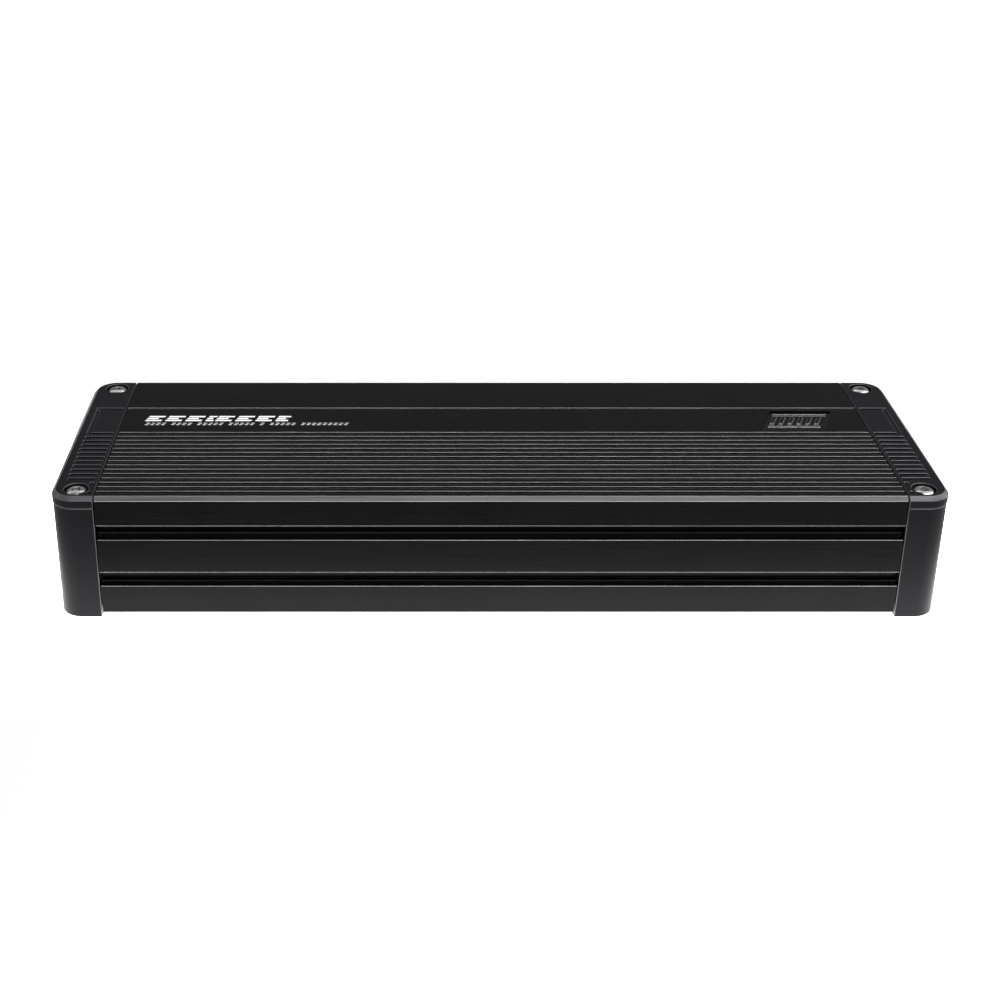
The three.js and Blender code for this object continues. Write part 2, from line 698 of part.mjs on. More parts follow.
// A knob turned with a screwdriver or the fingers: a fluted grip with a slot, on a thin shaft.
function knob(y, z) {
  const grip = new THREE.Shape();
  for (let i = 0; i < 2 * KNOB.flutes; i += 1) {
    const angle = (i * Math.PI) / KNOB.flutes;
    const radius = i % 2 ? KNOB.radius : KNOB.radius - KNOB.fluteDepth;
    const point = [y + radius * Math.cos(angle), z + radius * Math.sin(angle)];
    if (i === 0) {
      grip.moveTo(...point);
    } else {
      grip.lineTo(...point);
    }
  }
  const face = panelFace + KNOB.rise;
  const body = join(alongX(grip, panelBack + GAP, face), [
    rodX(potFace - POT_SIZE.depth + 1, panelBack + 1, y, z, KNOB.shaft, THIN_SEGMENTS),
  ]);
  const slot = bar(face - KNOB_SLOT.depth, face + 1, y, z, 2 * KNOB.radius + 1, KNOB_SLOT.width);
  return cut(body, [slot]);
}

// The turning resistor behind the panel, bored for the knob's shaft.
function pot(y, z) {
  const body = bar(potFace - POT_SIZE.depth, potFace, y, z, POT_SIZE.width, POT_SIZE.height);
  return cut(body, [rodX(potFace - POT_SIZE.depth, potFace + 1, y, z, KNOB.shaft + GAP, THIN_SEGMENTS)]);
}

const sliderRoom = SLIDER.width + 2 * (SLIDER.travel + SLIDER_CLEARANCE);

function slideSwitch(z) {
  const body = bar(potFace - SWITCH_BODY.depth, potFace, switchY, z, SWITCH_BODY.width, SWITCH_BODY.height);
  const room = SLIDER.height + 2 * SLIDER_CLEARANCE;
  return cut(body, [bar(potFace - SLIDER.foot - GAP, potFace + 1, switchY, z, sliderRoom, room)]);
}

// The slider's outer end carries two finger grooves.
function slider(z) {
  const face = panelFace + SLIDER.rise;
  const body = bar(potFace - SLIDER.foot, face, switchY, z, SLIDER.width, SLIDER.height);
  const grooves = [-1, 1].map((side) =>
    bar(face - 0.5, face + 1, switchY + side * 0.8, z, 0.6, SLIDER.height + 1),
  );
  return cut(body, grooves);
}

function powerLight() {
  const { radius, length, rise } = LIGHT;
  const profile = [
    [0, 0],
    [radius, 0],
    [radius, length - radius * 0.6],
    [radius * 0.7, length - radius * 0.2],
    [0, length],
  ].map(([r, x]) => new THREE.Vector2(r, x));
  const lens = new THREE.LatheGeometry(profile, ROUND_SEGMENTS);
  return lens.rotateZ(-Math.PI / 2).translate(panelFace + rise - length, lightY, lightZ);
}

// --- Circuit board and what stands on it ------------------------------------------------------------

function circuitBoard() {
  const half = panelBack - BOARD_END_GAP;
  const edge = innerY - GAP;
  const board = block([-half, -edge, boardBottom], [half, edge, boardTop]);
  const fixings = [];
  for (const x of [-BOARD_FIXING_X, BOARD_FIXING_X]) {
    for (const y of [-portY, portY]) {
      fixings.push(rodZ(x, y, boardBottom - 1, boardTop + 1, BOARD_FIXING_RADIUS, THIN_SEGMENTS));
    }
  }
  return cut(board, fixings);
}

// Two ferrite halves closed round the coil: an outer frame with a middle leg.
function transformerCore() {
  const base = boardTop + GAP;
  const { length, width, height, leg, middle, yoke } = CORE;
  const body = bar(CORE.x - length / 2, CORE.x + length / 2, 0, base + height / 2, width, height);
  const windowWidth = (length - middle) / 2 - leg;
  const windows = [-1, 1].map((side) => {
    const x = CORE.x + side * (middle / 2 + windowWidth / 2);
    return block(
      [x - windowWidth / 2, -width, base + yoke],
      [x + windowWidth / 2, width, base + height - yoke],
    );
  });
  return cut(body, windows);
}

function transformerCoil() {
  const base = boardTop + GAP;
  const inner = [CORE.middle / 2 + GAP, CORE.width / 2 + GAP];
  const wall = (CORE.length - CORE.middle) / 2 - CORE.leg - 2 * GAP;
  const outer = inner.map((half) => half + wall);
  const z = base + CORE.height / 2;
  const ringHeight = CORE.height - 2 * CORE.yoke - 2 * GAP;
  const ring = (half, height) =>
    block([CORE.x - half[0], -half[1], z - height / 2], [CORE.x + half[0], half[1], z + height / 2]);
  return cut(ring(outer, ringHeight), [ring(inner, ringHeight + 2)]);
}

// A wound ring that lies on the board.
function outputCoil(x, y) {
  const { across, height, wire } = COIL;
  const outer = across / 2;
  const inner = outer - wire;
  const soft = wire / 4;
  const profile = [
    [inner + soft, 0],
    [outer - soft, 0],
    [outer, soft],
    [outer, height - soft],
    [outer - soft, height],
    [inner + soft, height],
    [inner, height - soft],
    [inner, soft],
    [inner + soft, 0],
  ].map(([r, z]) => new THREE.Vector2(r, z));
  return new THREE.LatheGeometry(profile, ROUND_SEGMENTS).rotateX(Math.PI / 2).translate(x, y, boardTop + GAP);
}

function capacitor(x, y) {
  const { radius, height } = CAPACITOR;
  const profile = [
    [0, 0],
    [radius, 0],
    [radius, 1.2],
    [radius - 0.5, 1.8],
    [radius - 0.5, 2.4],
    [radius, 3],
    [radius, height - 0.6],
    [radius - 0.6, height],
    [0, height],
  ].map(([r, z]) => new THREE.Vector2(r, z));
  return new THREE.LatheGeometry(profile, ROUND_SEGMENTS).rotateX(Math.PI / 2).translate(x, y, boardTop + GAP);
}

const transistorBack = innerY - GAP;
const transistorFront = transistorBack - TRANSISTOR.thickness;

// A power transistor on three legs, with its back to a side wall of the housing.
function transistor(side, x) {
  const base = boardTop + GAP;
  const { width, height, legs } = TRANSISTOR;
  const near = side * transistorFront;
  const far = side * transistorBack;
  const [y0, y1] = near < far ? [near, far] : [far, near];
  const body = block([x - width / 2, y0, base + legs], [x + width / 2, y1, base + legs + height]);
  const middle = (y0 + y1) / 2;
  const pins = [-1, 0, 1].map((step) => {
    const pinX = x + step * 5;
    return block([pinX - 0.6, middle - 0.4, base], [pinX + 0.6, middle + 0.4, base + legs + 1]);
  });
  return join(body, pins);
}

function transistorPlaces() {
  return [-TRANSISTOR.pitch / 2, TRANSISTOR.pitch / 2];
}

function clampBar(side) {
  const half = TRANSISTOR.pitch / 2 + TRANSISTOR.width / 2 + CLAMP_BAR.overhang;
  const y = side * (transistorFront - GAP - CLAMP_BAR.thickness / 2);
  const z = boardTop + GAP + TRANSISTOR.legs + TRANSISTOR.height / 2;
  return bar(-half, half, y, z, CLAMP_BAR.thickness, CLAMP_BAR.height);
}

// --- Assembly ---------------------------------------------------------------------------------------

const endNames = ["left", "right"];

addPiece("heat_sink", heatSink(), "anodised");
addPiece("bottom_plate", bottomPlate(), "blackSteel");
for (const [corner, x, y] of plateScrewPlaces()) {
  const screw = addPiece("plate_screw_" + corner, screwShape(PLATE_SCREW), "blackSteel");
  screw.rotation.x = Math.PI;
  screw.position.set(x, y, plateBottom - GAP - PLATE_SCREW.rise);
}

// Each end is built at +X. The left one is its mirror image.
const ends = endNames.map((name) => {
  const group = new THREE.Group();
  group.scale.x = name === "left" ? -1 : 1;
  amplifier.add(group);
  return group;
});

endNames.forEach((name, index) => {
  const end = ends[index];
  addPiece("end_cap_" + name, endCap(), "moulded", end);
  addPiece("lid_" + name, lid(), "moulded", end);
  for (const [place, side] of [["front", -1], ["rear", 1]]) {
    const lidScrew = addPiece(`lid_screw_${place}_${name}`, screwShape(LID_SCREW), "stainless", end);
    lidScrew.position.set(lidScrewX, side * lidScrewY, lidScrewHead + LID_SCREW.rise);
    const capScrew = addPiece(`cap_screw_${place}_${name}`, screwShape(CAP_SCREW), "blackSteel", end);
    capScrew.rotation.y = Math.PI / 2;
    capScrew.position.set(capScrewHead + CAP_SCREW.rise, side * portY, PORT_Z);
  }
});

const [signalEnd, powerEnd] = ends;

addPiece(
  "power_panel",
  panel([
    panelWindow(powerY, connectorBase + POWER_BLOCK_HEIGHT / 2, powerWidth, POWER_BLOCK_HEIGHT),
    panelWindow(speakerY, speakerStepZ, speakerWidth, SPEAKER_BLOCK_HEIGHT),
    panelWindow(fuseHolderY, fuseZ, FUSE_HOLDER_WIDTH, FUSE_HOLDER_HEIGHT),
  ]),
  "blackSteel",
  powerEnd,
);
addPiece("power_terminal_block", powerTerminalBlock(), "blackPlastic", powerEnd);
powerPoles.forEach((y, index) => {
  addPiece("power_terminal_screw_" + POWER_POLES[index], powerTerminalScrew(y), "nickel", powerEnd);
});
addPiece("speaker_terminal_block", speakerTerminalBlock(), "blackPlastic", powerEnd);
addPiece("fuse_holder", fuseHolder(), "blackPlastic", powerEnd);
fusePlaces().forEach((y, index) => {
  addPiece("fuse_" + (index + 1), fuse(y), "fuse", powerEnd);
});

const knobHoles = [];
const knobs = [];
["front_channels", "rear_channels"].forEach((channels, row) => {
  [["gain", gainY], ["crossover", crossoverY]].forEach(([job, y]) => {
    knobs.push([`${job}_knob_${channels}`, `${job}_pot_${channels}`, y, rowZ[1 - row]]);
    knobHoles.push(rodX(panelBack - 1, panelFace + 1, y, rowZ[row], KNOB.radius + KNOB_CLEARANCE));
  });
});
const sliderHoles = rowZ.map((z) =>
  bar(panelBack - 1, panelFace + 1, switchY, z, sliderRoom, SLIDER.height + 2 * SLIDER_CLEARANCE),
);
addPiece(
  "signal_panel",
  panel([
    panelWindow(rcaY, connectorBase + ROW_PITCH, 2 * RCA_PITCH_Y, 2 * ROW_PITCH),
    rodX(panelBack - 1, panelFace + 1, lightY, lightZ, LIGHT.radius + GAP),
    ...knobHoles,
    ...sliderHoles,
  ]),
  "blackSteel",
  signalEnd,
);
addPiece("input_jack_block", rcaBlock(), "blackPlastic", signalEnd);
rcaPlaces().forEach(([y, z], index) => {
  addPiece("input_jack_sleeve_" + (index + 1), rcaSleeve(y, z), "nickel", signalEnd);
});
for (const [knobName, potName, y, z] of knobs) {
  addPiece(knobName, knob(y, z), "blackPlastic", signalEnd);
  addPiece(potName, pot(y, z), "board", signalEnd);
}
["front_channels", "rear_channels"].forEach((channels, row) => {
  const z = rowZ[1 - row];
  addPiece("filter_switch_" + channels, slideSwitch(z), "aluminium", signalEnd);
  addPiece("filter_slider_" + channels, slider(z), "blackPlastic", signalEnd);
});
addPiece("power_light", powerLight(), "light", signalEnd);

addPiece("circuit_board", circuitBoard(), "board");
addPiece("transformer_core", transformerCore(), "ferrite");
addPiece("transformer_coil", transformerCoil(), "copper");
[-1, 1].forEach((side, index) => {
  addPiece("output_coil_" + (index + 1), outputCoil(COIL.x, (side * COIL.pitch) / 2), "copper");
});
[-1, 0, 1].forEach((step, index) => {
  addPiece("supply_capacitor_" + (index + 1), capacitor(CAPACITOR.x, step * CAPACITOR.pitch), "sleeve");
});
for (const [place, side] of [["front", -1], ["rear", 1]]) {
  transistorPlaces().forEach((x, index) => {
    addPiece(`power_transistor_${place}_${endNames[index]}`, transistor(side, x), "epoxy");
  });
  addPiece("clamp_bar_" + place, clampBar(side), "aluminium");
}

export default amplifier;
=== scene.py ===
import json
import math
from collections import Counter

import bmesh
import bpy
from mathutils import Matrix, Vector

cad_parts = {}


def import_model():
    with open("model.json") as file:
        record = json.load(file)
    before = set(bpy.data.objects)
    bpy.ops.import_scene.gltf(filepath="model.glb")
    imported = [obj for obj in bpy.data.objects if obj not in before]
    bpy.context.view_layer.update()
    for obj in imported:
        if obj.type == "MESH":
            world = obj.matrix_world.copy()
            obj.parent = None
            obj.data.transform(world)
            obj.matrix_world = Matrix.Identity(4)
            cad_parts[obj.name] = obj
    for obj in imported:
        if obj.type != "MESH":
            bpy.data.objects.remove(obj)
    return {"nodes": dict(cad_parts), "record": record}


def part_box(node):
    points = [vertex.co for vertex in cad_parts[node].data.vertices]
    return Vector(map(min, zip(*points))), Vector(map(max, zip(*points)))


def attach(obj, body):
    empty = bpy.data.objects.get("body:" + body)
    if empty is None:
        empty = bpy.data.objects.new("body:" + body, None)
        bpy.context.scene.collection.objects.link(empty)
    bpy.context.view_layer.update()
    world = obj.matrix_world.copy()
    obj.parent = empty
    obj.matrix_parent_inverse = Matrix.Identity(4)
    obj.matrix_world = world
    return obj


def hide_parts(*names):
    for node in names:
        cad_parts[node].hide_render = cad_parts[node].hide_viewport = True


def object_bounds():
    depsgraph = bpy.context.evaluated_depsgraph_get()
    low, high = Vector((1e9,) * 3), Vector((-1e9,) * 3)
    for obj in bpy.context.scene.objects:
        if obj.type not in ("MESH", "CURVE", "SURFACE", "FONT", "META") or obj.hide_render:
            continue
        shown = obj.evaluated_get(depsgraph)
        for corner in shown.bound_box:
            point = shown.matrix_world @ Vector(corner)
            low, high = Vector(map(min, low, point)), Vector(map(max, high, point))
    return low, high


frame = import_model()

MM = 0.001
CAD_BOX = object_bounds()
GAP = 0.3  # between pieces that rest on each other
EDGE = 0.17  # radius on the sharp edges of the extruded housing
MOULD_EDGE = 0.3  # radius on the edges of moulded pieces
ROUND = 48  # sides of a round piece
INK = 0.03  # thickness of printed marks
BITE = 0.01  # how far a mark sinks in, and a tool stands out of, the surface
SAME = 1e-4  # points closer than this are one
SHORT = 0.065  # an edge shorter than this is taken out before the rounding
SLOPE = (0.6, 0.8)  # upward share of the normal of a chamfer
SLOPE_AREA = 0.05  # square millimetres
LEVEL = 0.9999  # upward share of the normal of a level face
CORNERS = ("front_left", "front_right", "rear_left", "rear_right")
CHANNELS = ("front_channels", "rear_channels")

scene = bpy.context.scene
slots = {subpart["node"]: subpart["material_slot"] for subpart in frame["record"]["subparts"]}


# --- Meshes ---


def box_mm(node):
    """The lowest corner, the highest corner and the middle of a node's box."""
    low, high = (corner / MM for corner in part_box(node))
    return low, high, (low + high) / 2


def centre_mm(node):
    return box_mm(node)[2]


def place(axis, across, up, along):
    """A point from two coordinates across an axis and one along it."""
    return {"x": (along, across, up), "y": (across, along, up), "z": (across, up, along)}[axis]


def linked(name, mesh):
    solid = bpy.data.objects.new(name, mesh)
    scene.collection.objects.link(solid)
    return solid


def skin(name, rings, ring_closed=False):
    """A solid skinned over rings of equally many points. Flat faces close its ends, unless it is a ring."""
    count = len(rings[0])
    points = [tuple(point) for ring in rings for point in ring]
    faces = []
    for level in range(len(rings) if ring_closed else len(rings) - 1):
        here = level * count
        above = (level + 1) % len(rings) * count
        for i in range(count):
            j = (i + 1) % count
            faces.append((here + i, here + j, above + j, above + i))
    if not ring_closed:
        faces.append(tuple(reversed(range(count))))
        faces.append(tuple(range((len(rings) - 1) * count, len(points))))
    mesh = bpy.data.meshes.new(name)
    mesh.from_pydata(points, [], faces)
    work = bmesh.new()
    work.from_mesh(mesh)
    bmesh.ops.remove_doubles(work, verts=work.verts, dist=0.1 * SAME)
    bmesh.ops.dissolve_degenerate(work, dist=0.01 * SAME, edges=work.edges)
    bmesh.ops.recalc_face_normals(work, faces=work.faces)
    work.to_mesh(mesh)
    work.free()
    return linked(name, mesh)


def prism(name, outline, axis, start, end):
    return skin(name, [[place(axis, u, v, along) for u, v in outline] for along in (start, end)])


def rectangle(u0, u1, v0, v1):
    return [(u0, v0), (u1, v0), (u1, v1), (u0, v1)]


def around(middle, width, height):
    """A rectangle from its middle."""
    u, v = middle
    return rectangle(u - width / 2, u + width / 2, v - height / 2, v + height / 2)


def block(low, high):
    return prism("block", rectangle(low[0], high[0], low[1], high[1]), "z", low[2], high[2])


def circle(radius, centre=(0, 0), sides=ROUND, turn=0.0):
    angles = [turn + 2 * math.pi * i / sides for i in range(sides)]
    return [(centre[0] + radius * math.cos(a), centre[1] + radius * math.sin(a)) for a in angles]


def rod(axis, centre, start, end, radius, sides=ROUND, turn=0.0):
    return prism("rod", circle(radius, centre, sides, turn), axis, start, end)


def lathe(name, axis, centre, profile, ring_closed=False):
    """A solid of revolution from (radius, place along the axis) pairs."""
    rings = []
    for radius, along in profile:
        rings.append([place(axis, u, v, along) for u, v in circle(radius, centre)])
    return skin(name, rings, ring_closed)


def joined(name, solids):
    """Several separate solids as one object."""
    work = bmesh.new()
    for solid in solids:
        work.from_mesh(solid.data)
        bpy.data.objects.remove(solid)
    mesh = bpy.data.meshes.new(name)
    work.to_mesh(mesh)
    work.free()
    return linked(name, mesh)


def apply_modifiers(solid):
    bpy.context.view_layer.update()
    shaped = solid.evaluated_get(bpy.context.evaluated_depsgraph_get())
    mesh = bpy.data.meshes.new_from_object(shaped)
    old = solid.data
    solid.modifiers.clear()
    solid.data = mesh
    bpy.data.meshes.remove(old)


def combine(solid, tools, operation="DIFFERENCE"):
    """Cuts or joins the tools, which are used up, and merges the flat faces that this leaves in pieces."""
    for tool in tools:
        modifier = solid.modifiers.new("combine", "BOOLEAN")
        modifier.operation = operation
        modifier.solver = "EXACT"
        modifier.object = tool
    apply_modifiers(solid)
    for tool in tools:
        bpy.data.objects.remove(tool)
    work = bmesh.new()
    work.from_mesh(solid.data)
    bmesh.ops.remove_doubles(work, verts=work.verts, dist=SAME)
    bmesh.ops.dissolve_limit(work, angle_limit=math.radians(0.2), verts=work.verts, edges=work.edges)
    work.to_mesh(solid.data)
    work.free()
    return solid


def mirror_x(solid):
    solid.data.transform(Matrix.Scale(-1, 4, (1, 0, 0)))
    solid.data.flip_normals()


def without_short_edges(mesh, length):
    work = bmesh.new()
    work.from_mesh(mesh)
    bmesh.ops.dissolve_degenerate(work, dist=length, edges=work.edges)
    work.to_mesh(mesh)
    work.free()


def soften(solid, width, segments):
    """Rounds the sharp edges and marks the faces that this makes, for the edge colour of the finishes: a
    painted highlight with some rubbed-through finish.
    """
    without_short_edges(solid.data, SHORT)
    solid.data.materials.clear()
    for _ in range(2):
        solid.data.materials.append(None)
    modifier = solid.modifiers.new("edges", "BEVEL")
    modifier.width = width
    modifier.segments = segments
    modifier.limit_method = "ANGLE"
    modifier.angle_limit = math.radians(28)
    modifier.material = 1
    modifier.use_clamp_overlap = False
    apply_modifiers(solid)
    without_short_edges(solid.data, SAME)
    mark_edges(solid.data, [float(polygon.material_index) for polygon in solid.data.polygons])
    for polygon in solid.data.polygons:
        polygon.material_index = 0


def mark_edges(mesh, wear_and_highlight):
    """Keeps each face's share of the edge colour, a painted highlight with some rubbed-through finish, in
    the face attribute "edge", for the finishes.
    """
    mesh.attributes.new("edge", "FLOAT", "FACE").data.foreach_set("value", wear_and_highlight[: len(mesh.polygons)])


def mark_slopes(solid, share):
    """Paints a highlight on the sloping faces at the top, the chamfers, by giving them a share of the edge
    colour.
    """
    layer = solid.data.attributes["edge"].data
    for polygon in solid.data.polygons:
        sloping = SLOPE[0] < polygon.normal.z < SLOPE[1]
        if sloping and polygon.center.z > TOP - 2 and polygon.area > SLOPE_AREA:
            layer[polygon.index].value = share


def smooth(solid, flat_tops):
    for polygon in solid.data.polygons:
        polygon.use_smooth = True
    solid.data.set_sharp_from_angle(angle=math.radians(50))
    if flat_tops:
        for polygon in solid.data.polygons:
            polygon.use_smooth = polygon.normal.z < LEVEL or polygon.area < 1
    modifier = solid.modifiers.new("normals", "WEIGHTED_NORMAL")
    modifier.keep_sharp = True
    apply_modifiers(solid)


def finished(
    solid, name, slot, nodes=(), edge=0.0, segments=2, body="amplifier", look=None, slopes=0.0,
    flat_tops=False,
):
    """Softens the edges, turns millimetres into metres and attaches the piece to its body.

    slopes is the share of painted highlight on the chamfers at the top. look is the finish's name, if it
    isn't the slot's.
    """
    if edge:
        soften(solid, edge, segments)
    if slopes:
        mark_slopes(solid, slopes)
    smooth(solid, flat_tops)
    solid.data.transform(Matrix.Scale(MM, 4))
    solid.name = name
    solid.data.name = name
    solid.data.materials.clear()
    solid.data.materials.append(LOOKS[look or slot])
    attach(solid, body)
    if nodes:
        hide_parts(*nodes)


# --- Finishes ---


def add_node(tree, kind, inputs, output=0, **settings):
    """Adds a node, links or sets its inputs, and returns one of its outputs."""
    made = tree.nodes.new(kind)
    for key, value in settings.items():
        setattr(made, key, value)
    for key, value in inputs.items():
        if isinstance(value, bpy.types.NodeSocket):
            tree.links.new(value, made.inputs[key])
        else:
            made.inputs[key].default_value = value
    return made.outputs[output]


def noise(tree, places, scale, stretch, detail):
    stretched = add_node(tree, "ShaderNodeMapping", {"Vector": places, "Scale": stretch})
    inputs = {"Vector": stretched, "Scale": scale, "Detail": detail}
    return add_node(tree, "ShaderNodeTexNoise", inputs, "Fac")


def map_range(tree, value, source, target, kind="LINEAR"):
    """Maps a value from one range to another, and keeps it within that."""
    inputs = {"Value": value, "From Min": source[0], "From Max": source[1]}
    inputs.update({"To Min": target[0], "To Max": target[1]})
    return add_node(tree, "ShaderNodeMapRange", inputs, interpolation_type=kind)


def ramp(tree, value, low, high):
    """Maps a noise value's middle range to run from low to high."""
    return map_range(tree, value, (0.3, 0.7), (low, high))


def finish(
    name, colour, roughness, metallic=0.0, specular=0.5, mottle=0.18, mottle_scale=45.0, grain_scale=1800.0,
    grain_depth=0.02, streaks=(1, 1, 1), rough_spread=0.06, wear_and_highlight=None, own=None,
):
    """A surface with broad and fine variation of colour, varied roughness and a grain that is in the bump.

    grain_depth is in millimetres. streaks stretches the grain along an axis, as drawing or brushing does.
    The colour and metallic share given for rounded edges and marked chamfers are partly a rubbed-through
    finish, partly a painted highlight. own sets other sockets.
    """
    made = bpy.data.materials.new(name)
    made.use_nodes = True
    tree = made.node_tree
    sockets = tree.nodes["Principled BSDF"].inputs
    places = add_node(tree, "ShaderNodeTexCoord", {}, "Object")
    broad = noise(tree, places, mottle_scale, (1, 1, 1), 3.0)
    fine = noise(tree, places, grain_scale, streaks, 5.0)
    shades = {i: ramp(tree, grain, 1 - mottle, 1 + mottle) for i, grain in enumerate((broad, fine))}
    shade = add_node(tree, "ShaderNodeMath", shades, operation="MULTIPLY")
    tinted = add_node(tree, "ShaderNodeVectorMath", {0: colour, "Scale": shade}, operation="SCALE")
    # Rounded edges and marked chamfers get a lighter, metallic colour: partly rubbed-through finish, partly
    # a painted highlight.
    if wear_and_highlight:
        wear_and_highlight_colour, wear_and_highlight_metallic = wear_and_highlight
        edge = add_node(tree, "ShaderNodeAttribute", {}, "Fac", attribute_name="edge")
        patches = {0: edge, 1: ramp(tree, fine, 0.6, 1.0)}
        wear_and_highlight_share = add_node(tree, "ShaderNodeMath", patches, operation="MULTIPLY")
        colours = {"Factor": wear_and_highlight_share, 6: tinted, 7: (*wear_and_highlight_colour, 1)}
        tinted = add_node(tree, "ShaderNodeMix", colours, 2, data_type="RGBA")
        tree.links.new(map_range(tree, wear_and_highlight_share, (0, 1), (metallic, wear_and_highlight_metallic)), sockets["Metallic"])
    tree.links.new(tinted, sockets["Base Color"])
    rough = ramp(tree, fine, roughness - rough_spread, roughness + rough_spread)
    tree.links.new(rough, sockets["Roughness"])
    relief = {"Height": fine, "Distance": grain_depth * MM, "Strength": 1.0}
    tree.links.new(add_node(tree, "ShaderNodeBump", relief), sockets["Normal"])
    sockets["Metallic"].default_value = metallic
    sockets["Specular IOR Level"].default_value = specular
    for key, value in (own or {}).items():
        sockets[key].default_value = value
    return made


ALONG_X = (0.02, 1, 1)
ALONG_Z = (1, 1, 0.02)

LOOKS = {
    # The housing's light grey metallic edge colour is partly rubbed-through anodising, partly a painted
    # highlight on its arrises and chamfers.
    "housing": finish(
        "anodised_aluminium", (0.0015, 0.0015, 0.0017), 0.31, specular=0.06, streaks=ALONG_X,
        grain_scale=1500.0, grain_depth=0.006, mottle=0.22, wear_and_highlight=((0.44, 0.44, 0.445), 0.95),
    ),
    # The caps' and lids' lighter metallic edge colour is a painted highlight on their rounded edges and
    # chamfers.
    "end_caps": finish(
        "textured_cap_plastic", (0.0036, 0.0032, 0.0044), 0.44, specular=0.07,
        grain_scale=1900.0, grain_depth=0.03, mottle=0.2, wear_and_highlight=((0.1, 0.097, 0.104), 0.8),
    ),
    "bottom_plate": finish(
        "textured_black_paint", (0.014, 0.014, 0.014), 0.55, specular=0.4,
        grain_scale=900.0, grain_depth=0.04,
    ),
    "panels": finish("satin_black_paint", (0.013, 0.013, 0.014), 0.45, specular=0.4, grain_scale=700.0),
    "lid_screws": finish(
        "bright_stainless", (0.36, 0.355, 0.345), 0.3, metallic=1.0,
        grain_scale=2600.0, grain_depth=0.006, mottle=0.12, streaks=(1, 0.08, 1),
    ),
    "small_screws": finish(
        "black_zinc", (0.03, 0.03, 0.031), 0.36, metallic=0.7, grain_scale=2200.0, grain_depth=0.006,
    ),
    "connectors": finish(
        "black_nylon", (0.016, 0.016, 0.017), 0.48, specular=0.45, grain_scale=1600.0, mottle=0.15,
    ),
    "plated_brass": finish(
        "plated_brass", (0.78, 0.62, 0.33), 0.2, metallic=1.0,
        grain_scale=2400.0, grain_depth=0.005, mottle=0.08,
    ),
    "fuses": finish(
        "amber_fuse_plastic", (0.80, 0.27, 0.03), 0.16, mottle=0.06, mottle_scale=120.0,
        grain_scale=1200.0, grain_depth=0.004, own={"Transmission Weight": 0.45, "Coat Weight": 0.2},
    ),
    "fuse_blades": finish(
        "tinned_blade", (0.66, 0.66, 0.64), 0.3, metallic=1.0, streaks=(0.05, 1, 1),
        grain_scale=2400.0, grain_depth=0.006,
    ),
    "controls": finish("knob_plastic", (0.018, 0.018, 0.019), 0.42, specular=0.45, grain_depth=0.015),
    "switch_cans": finish(
        "drawn_aluminium", (0.55, 0.56, 0.57), 0.36, metallic=1.0, streaks=ALONG_X, grain_depth=0.008,
    ),
    "pots": finish("blue_pot_plastic", (0.03, 0.11, 0.26), 0.4, grain_scale=1400.0, grain_depth=0.01),
    "light": finish(
        "light_lens", (0.05, 0.16, 0.60), 0.08, mottle=0.05, grain_depth=0.002,
        own={"Transmission Weight": 0.5, "Coat Weight": 0.3},
    ),
    "board": finish(
        "solder_mask", (0.012, 0.075, 0.035), 0.3, mottle=0.25, mottle_scale=160.0,
        grain_scale=900.0, grain_depth=0.012,
    ),
    "ferrite": finish("pressed_ferrite", (0.045, 0.045, 0.05), 0.6, grain_scale=1200.0, grain_depth=0.03),
    "windings": finish(
        "enamelled_copper", (0.50, 0.19, 0.06), 0.28, metallic=0.9, streaks=(0.06, 1, 1),
        grain_scale=900.0, grain_depth=0.15,
    ),
    "capacitor_sleeves": finish(
        "capacitor_sleeve", (0.012, 0.018, 0.05), 0.28, grain_scale=600.0, grain_depth=0.01,
        streaks=ALONG_Z, own={"Coat Weight": 0.3},
    ),
    "transistors": finish("moulded_epoxy", (0.014, 0.014, 0.014), 0.5, grain_scale=1500.0),
    "ink": finish("white_ink", (0.72, 0.72, 0.73), 0.55, specular=0.3, mottle=0.1, grain_depth=0.003),
    "badge": finish(
        "gloss_badge", (0.0025, 0.0025, 0.003), 0.16, specular=0.1, mottle=0.1, grain_depth=0.001,
        rough_spread=0.03, wear_and_highlight=((0.22, 0.22, 0.22), 0.9),
    ),
    "white_plastic": finish("white_insert", (0.62, 0.61, 0.58), 0.38, mottle=0.06, grain_depth=0.006),
    "red_plastic": finish("red_insert", (0.42, 0.02, 0.018), 0.36, mottle=0.08, grain_depth=0.006),
}


# --- Heat-sink housing ---

ROUNDING_STEPS = 3
# Shares of the edge colour, a painted highlight with some rubbed-through finish, on the rounded corners of
# the slots and of the lips.
SLOT_WEAR_AND_HIGHLIGHT = 0.06
LIP_WEAR_AND_HIGHLIGHT = 0.65
LID_CHAMFER = 1.5
PORT_COUNT = 2  # screw ports, which follow the outline itself
PLATE_SCREW_HOLE = 1.5  # radius


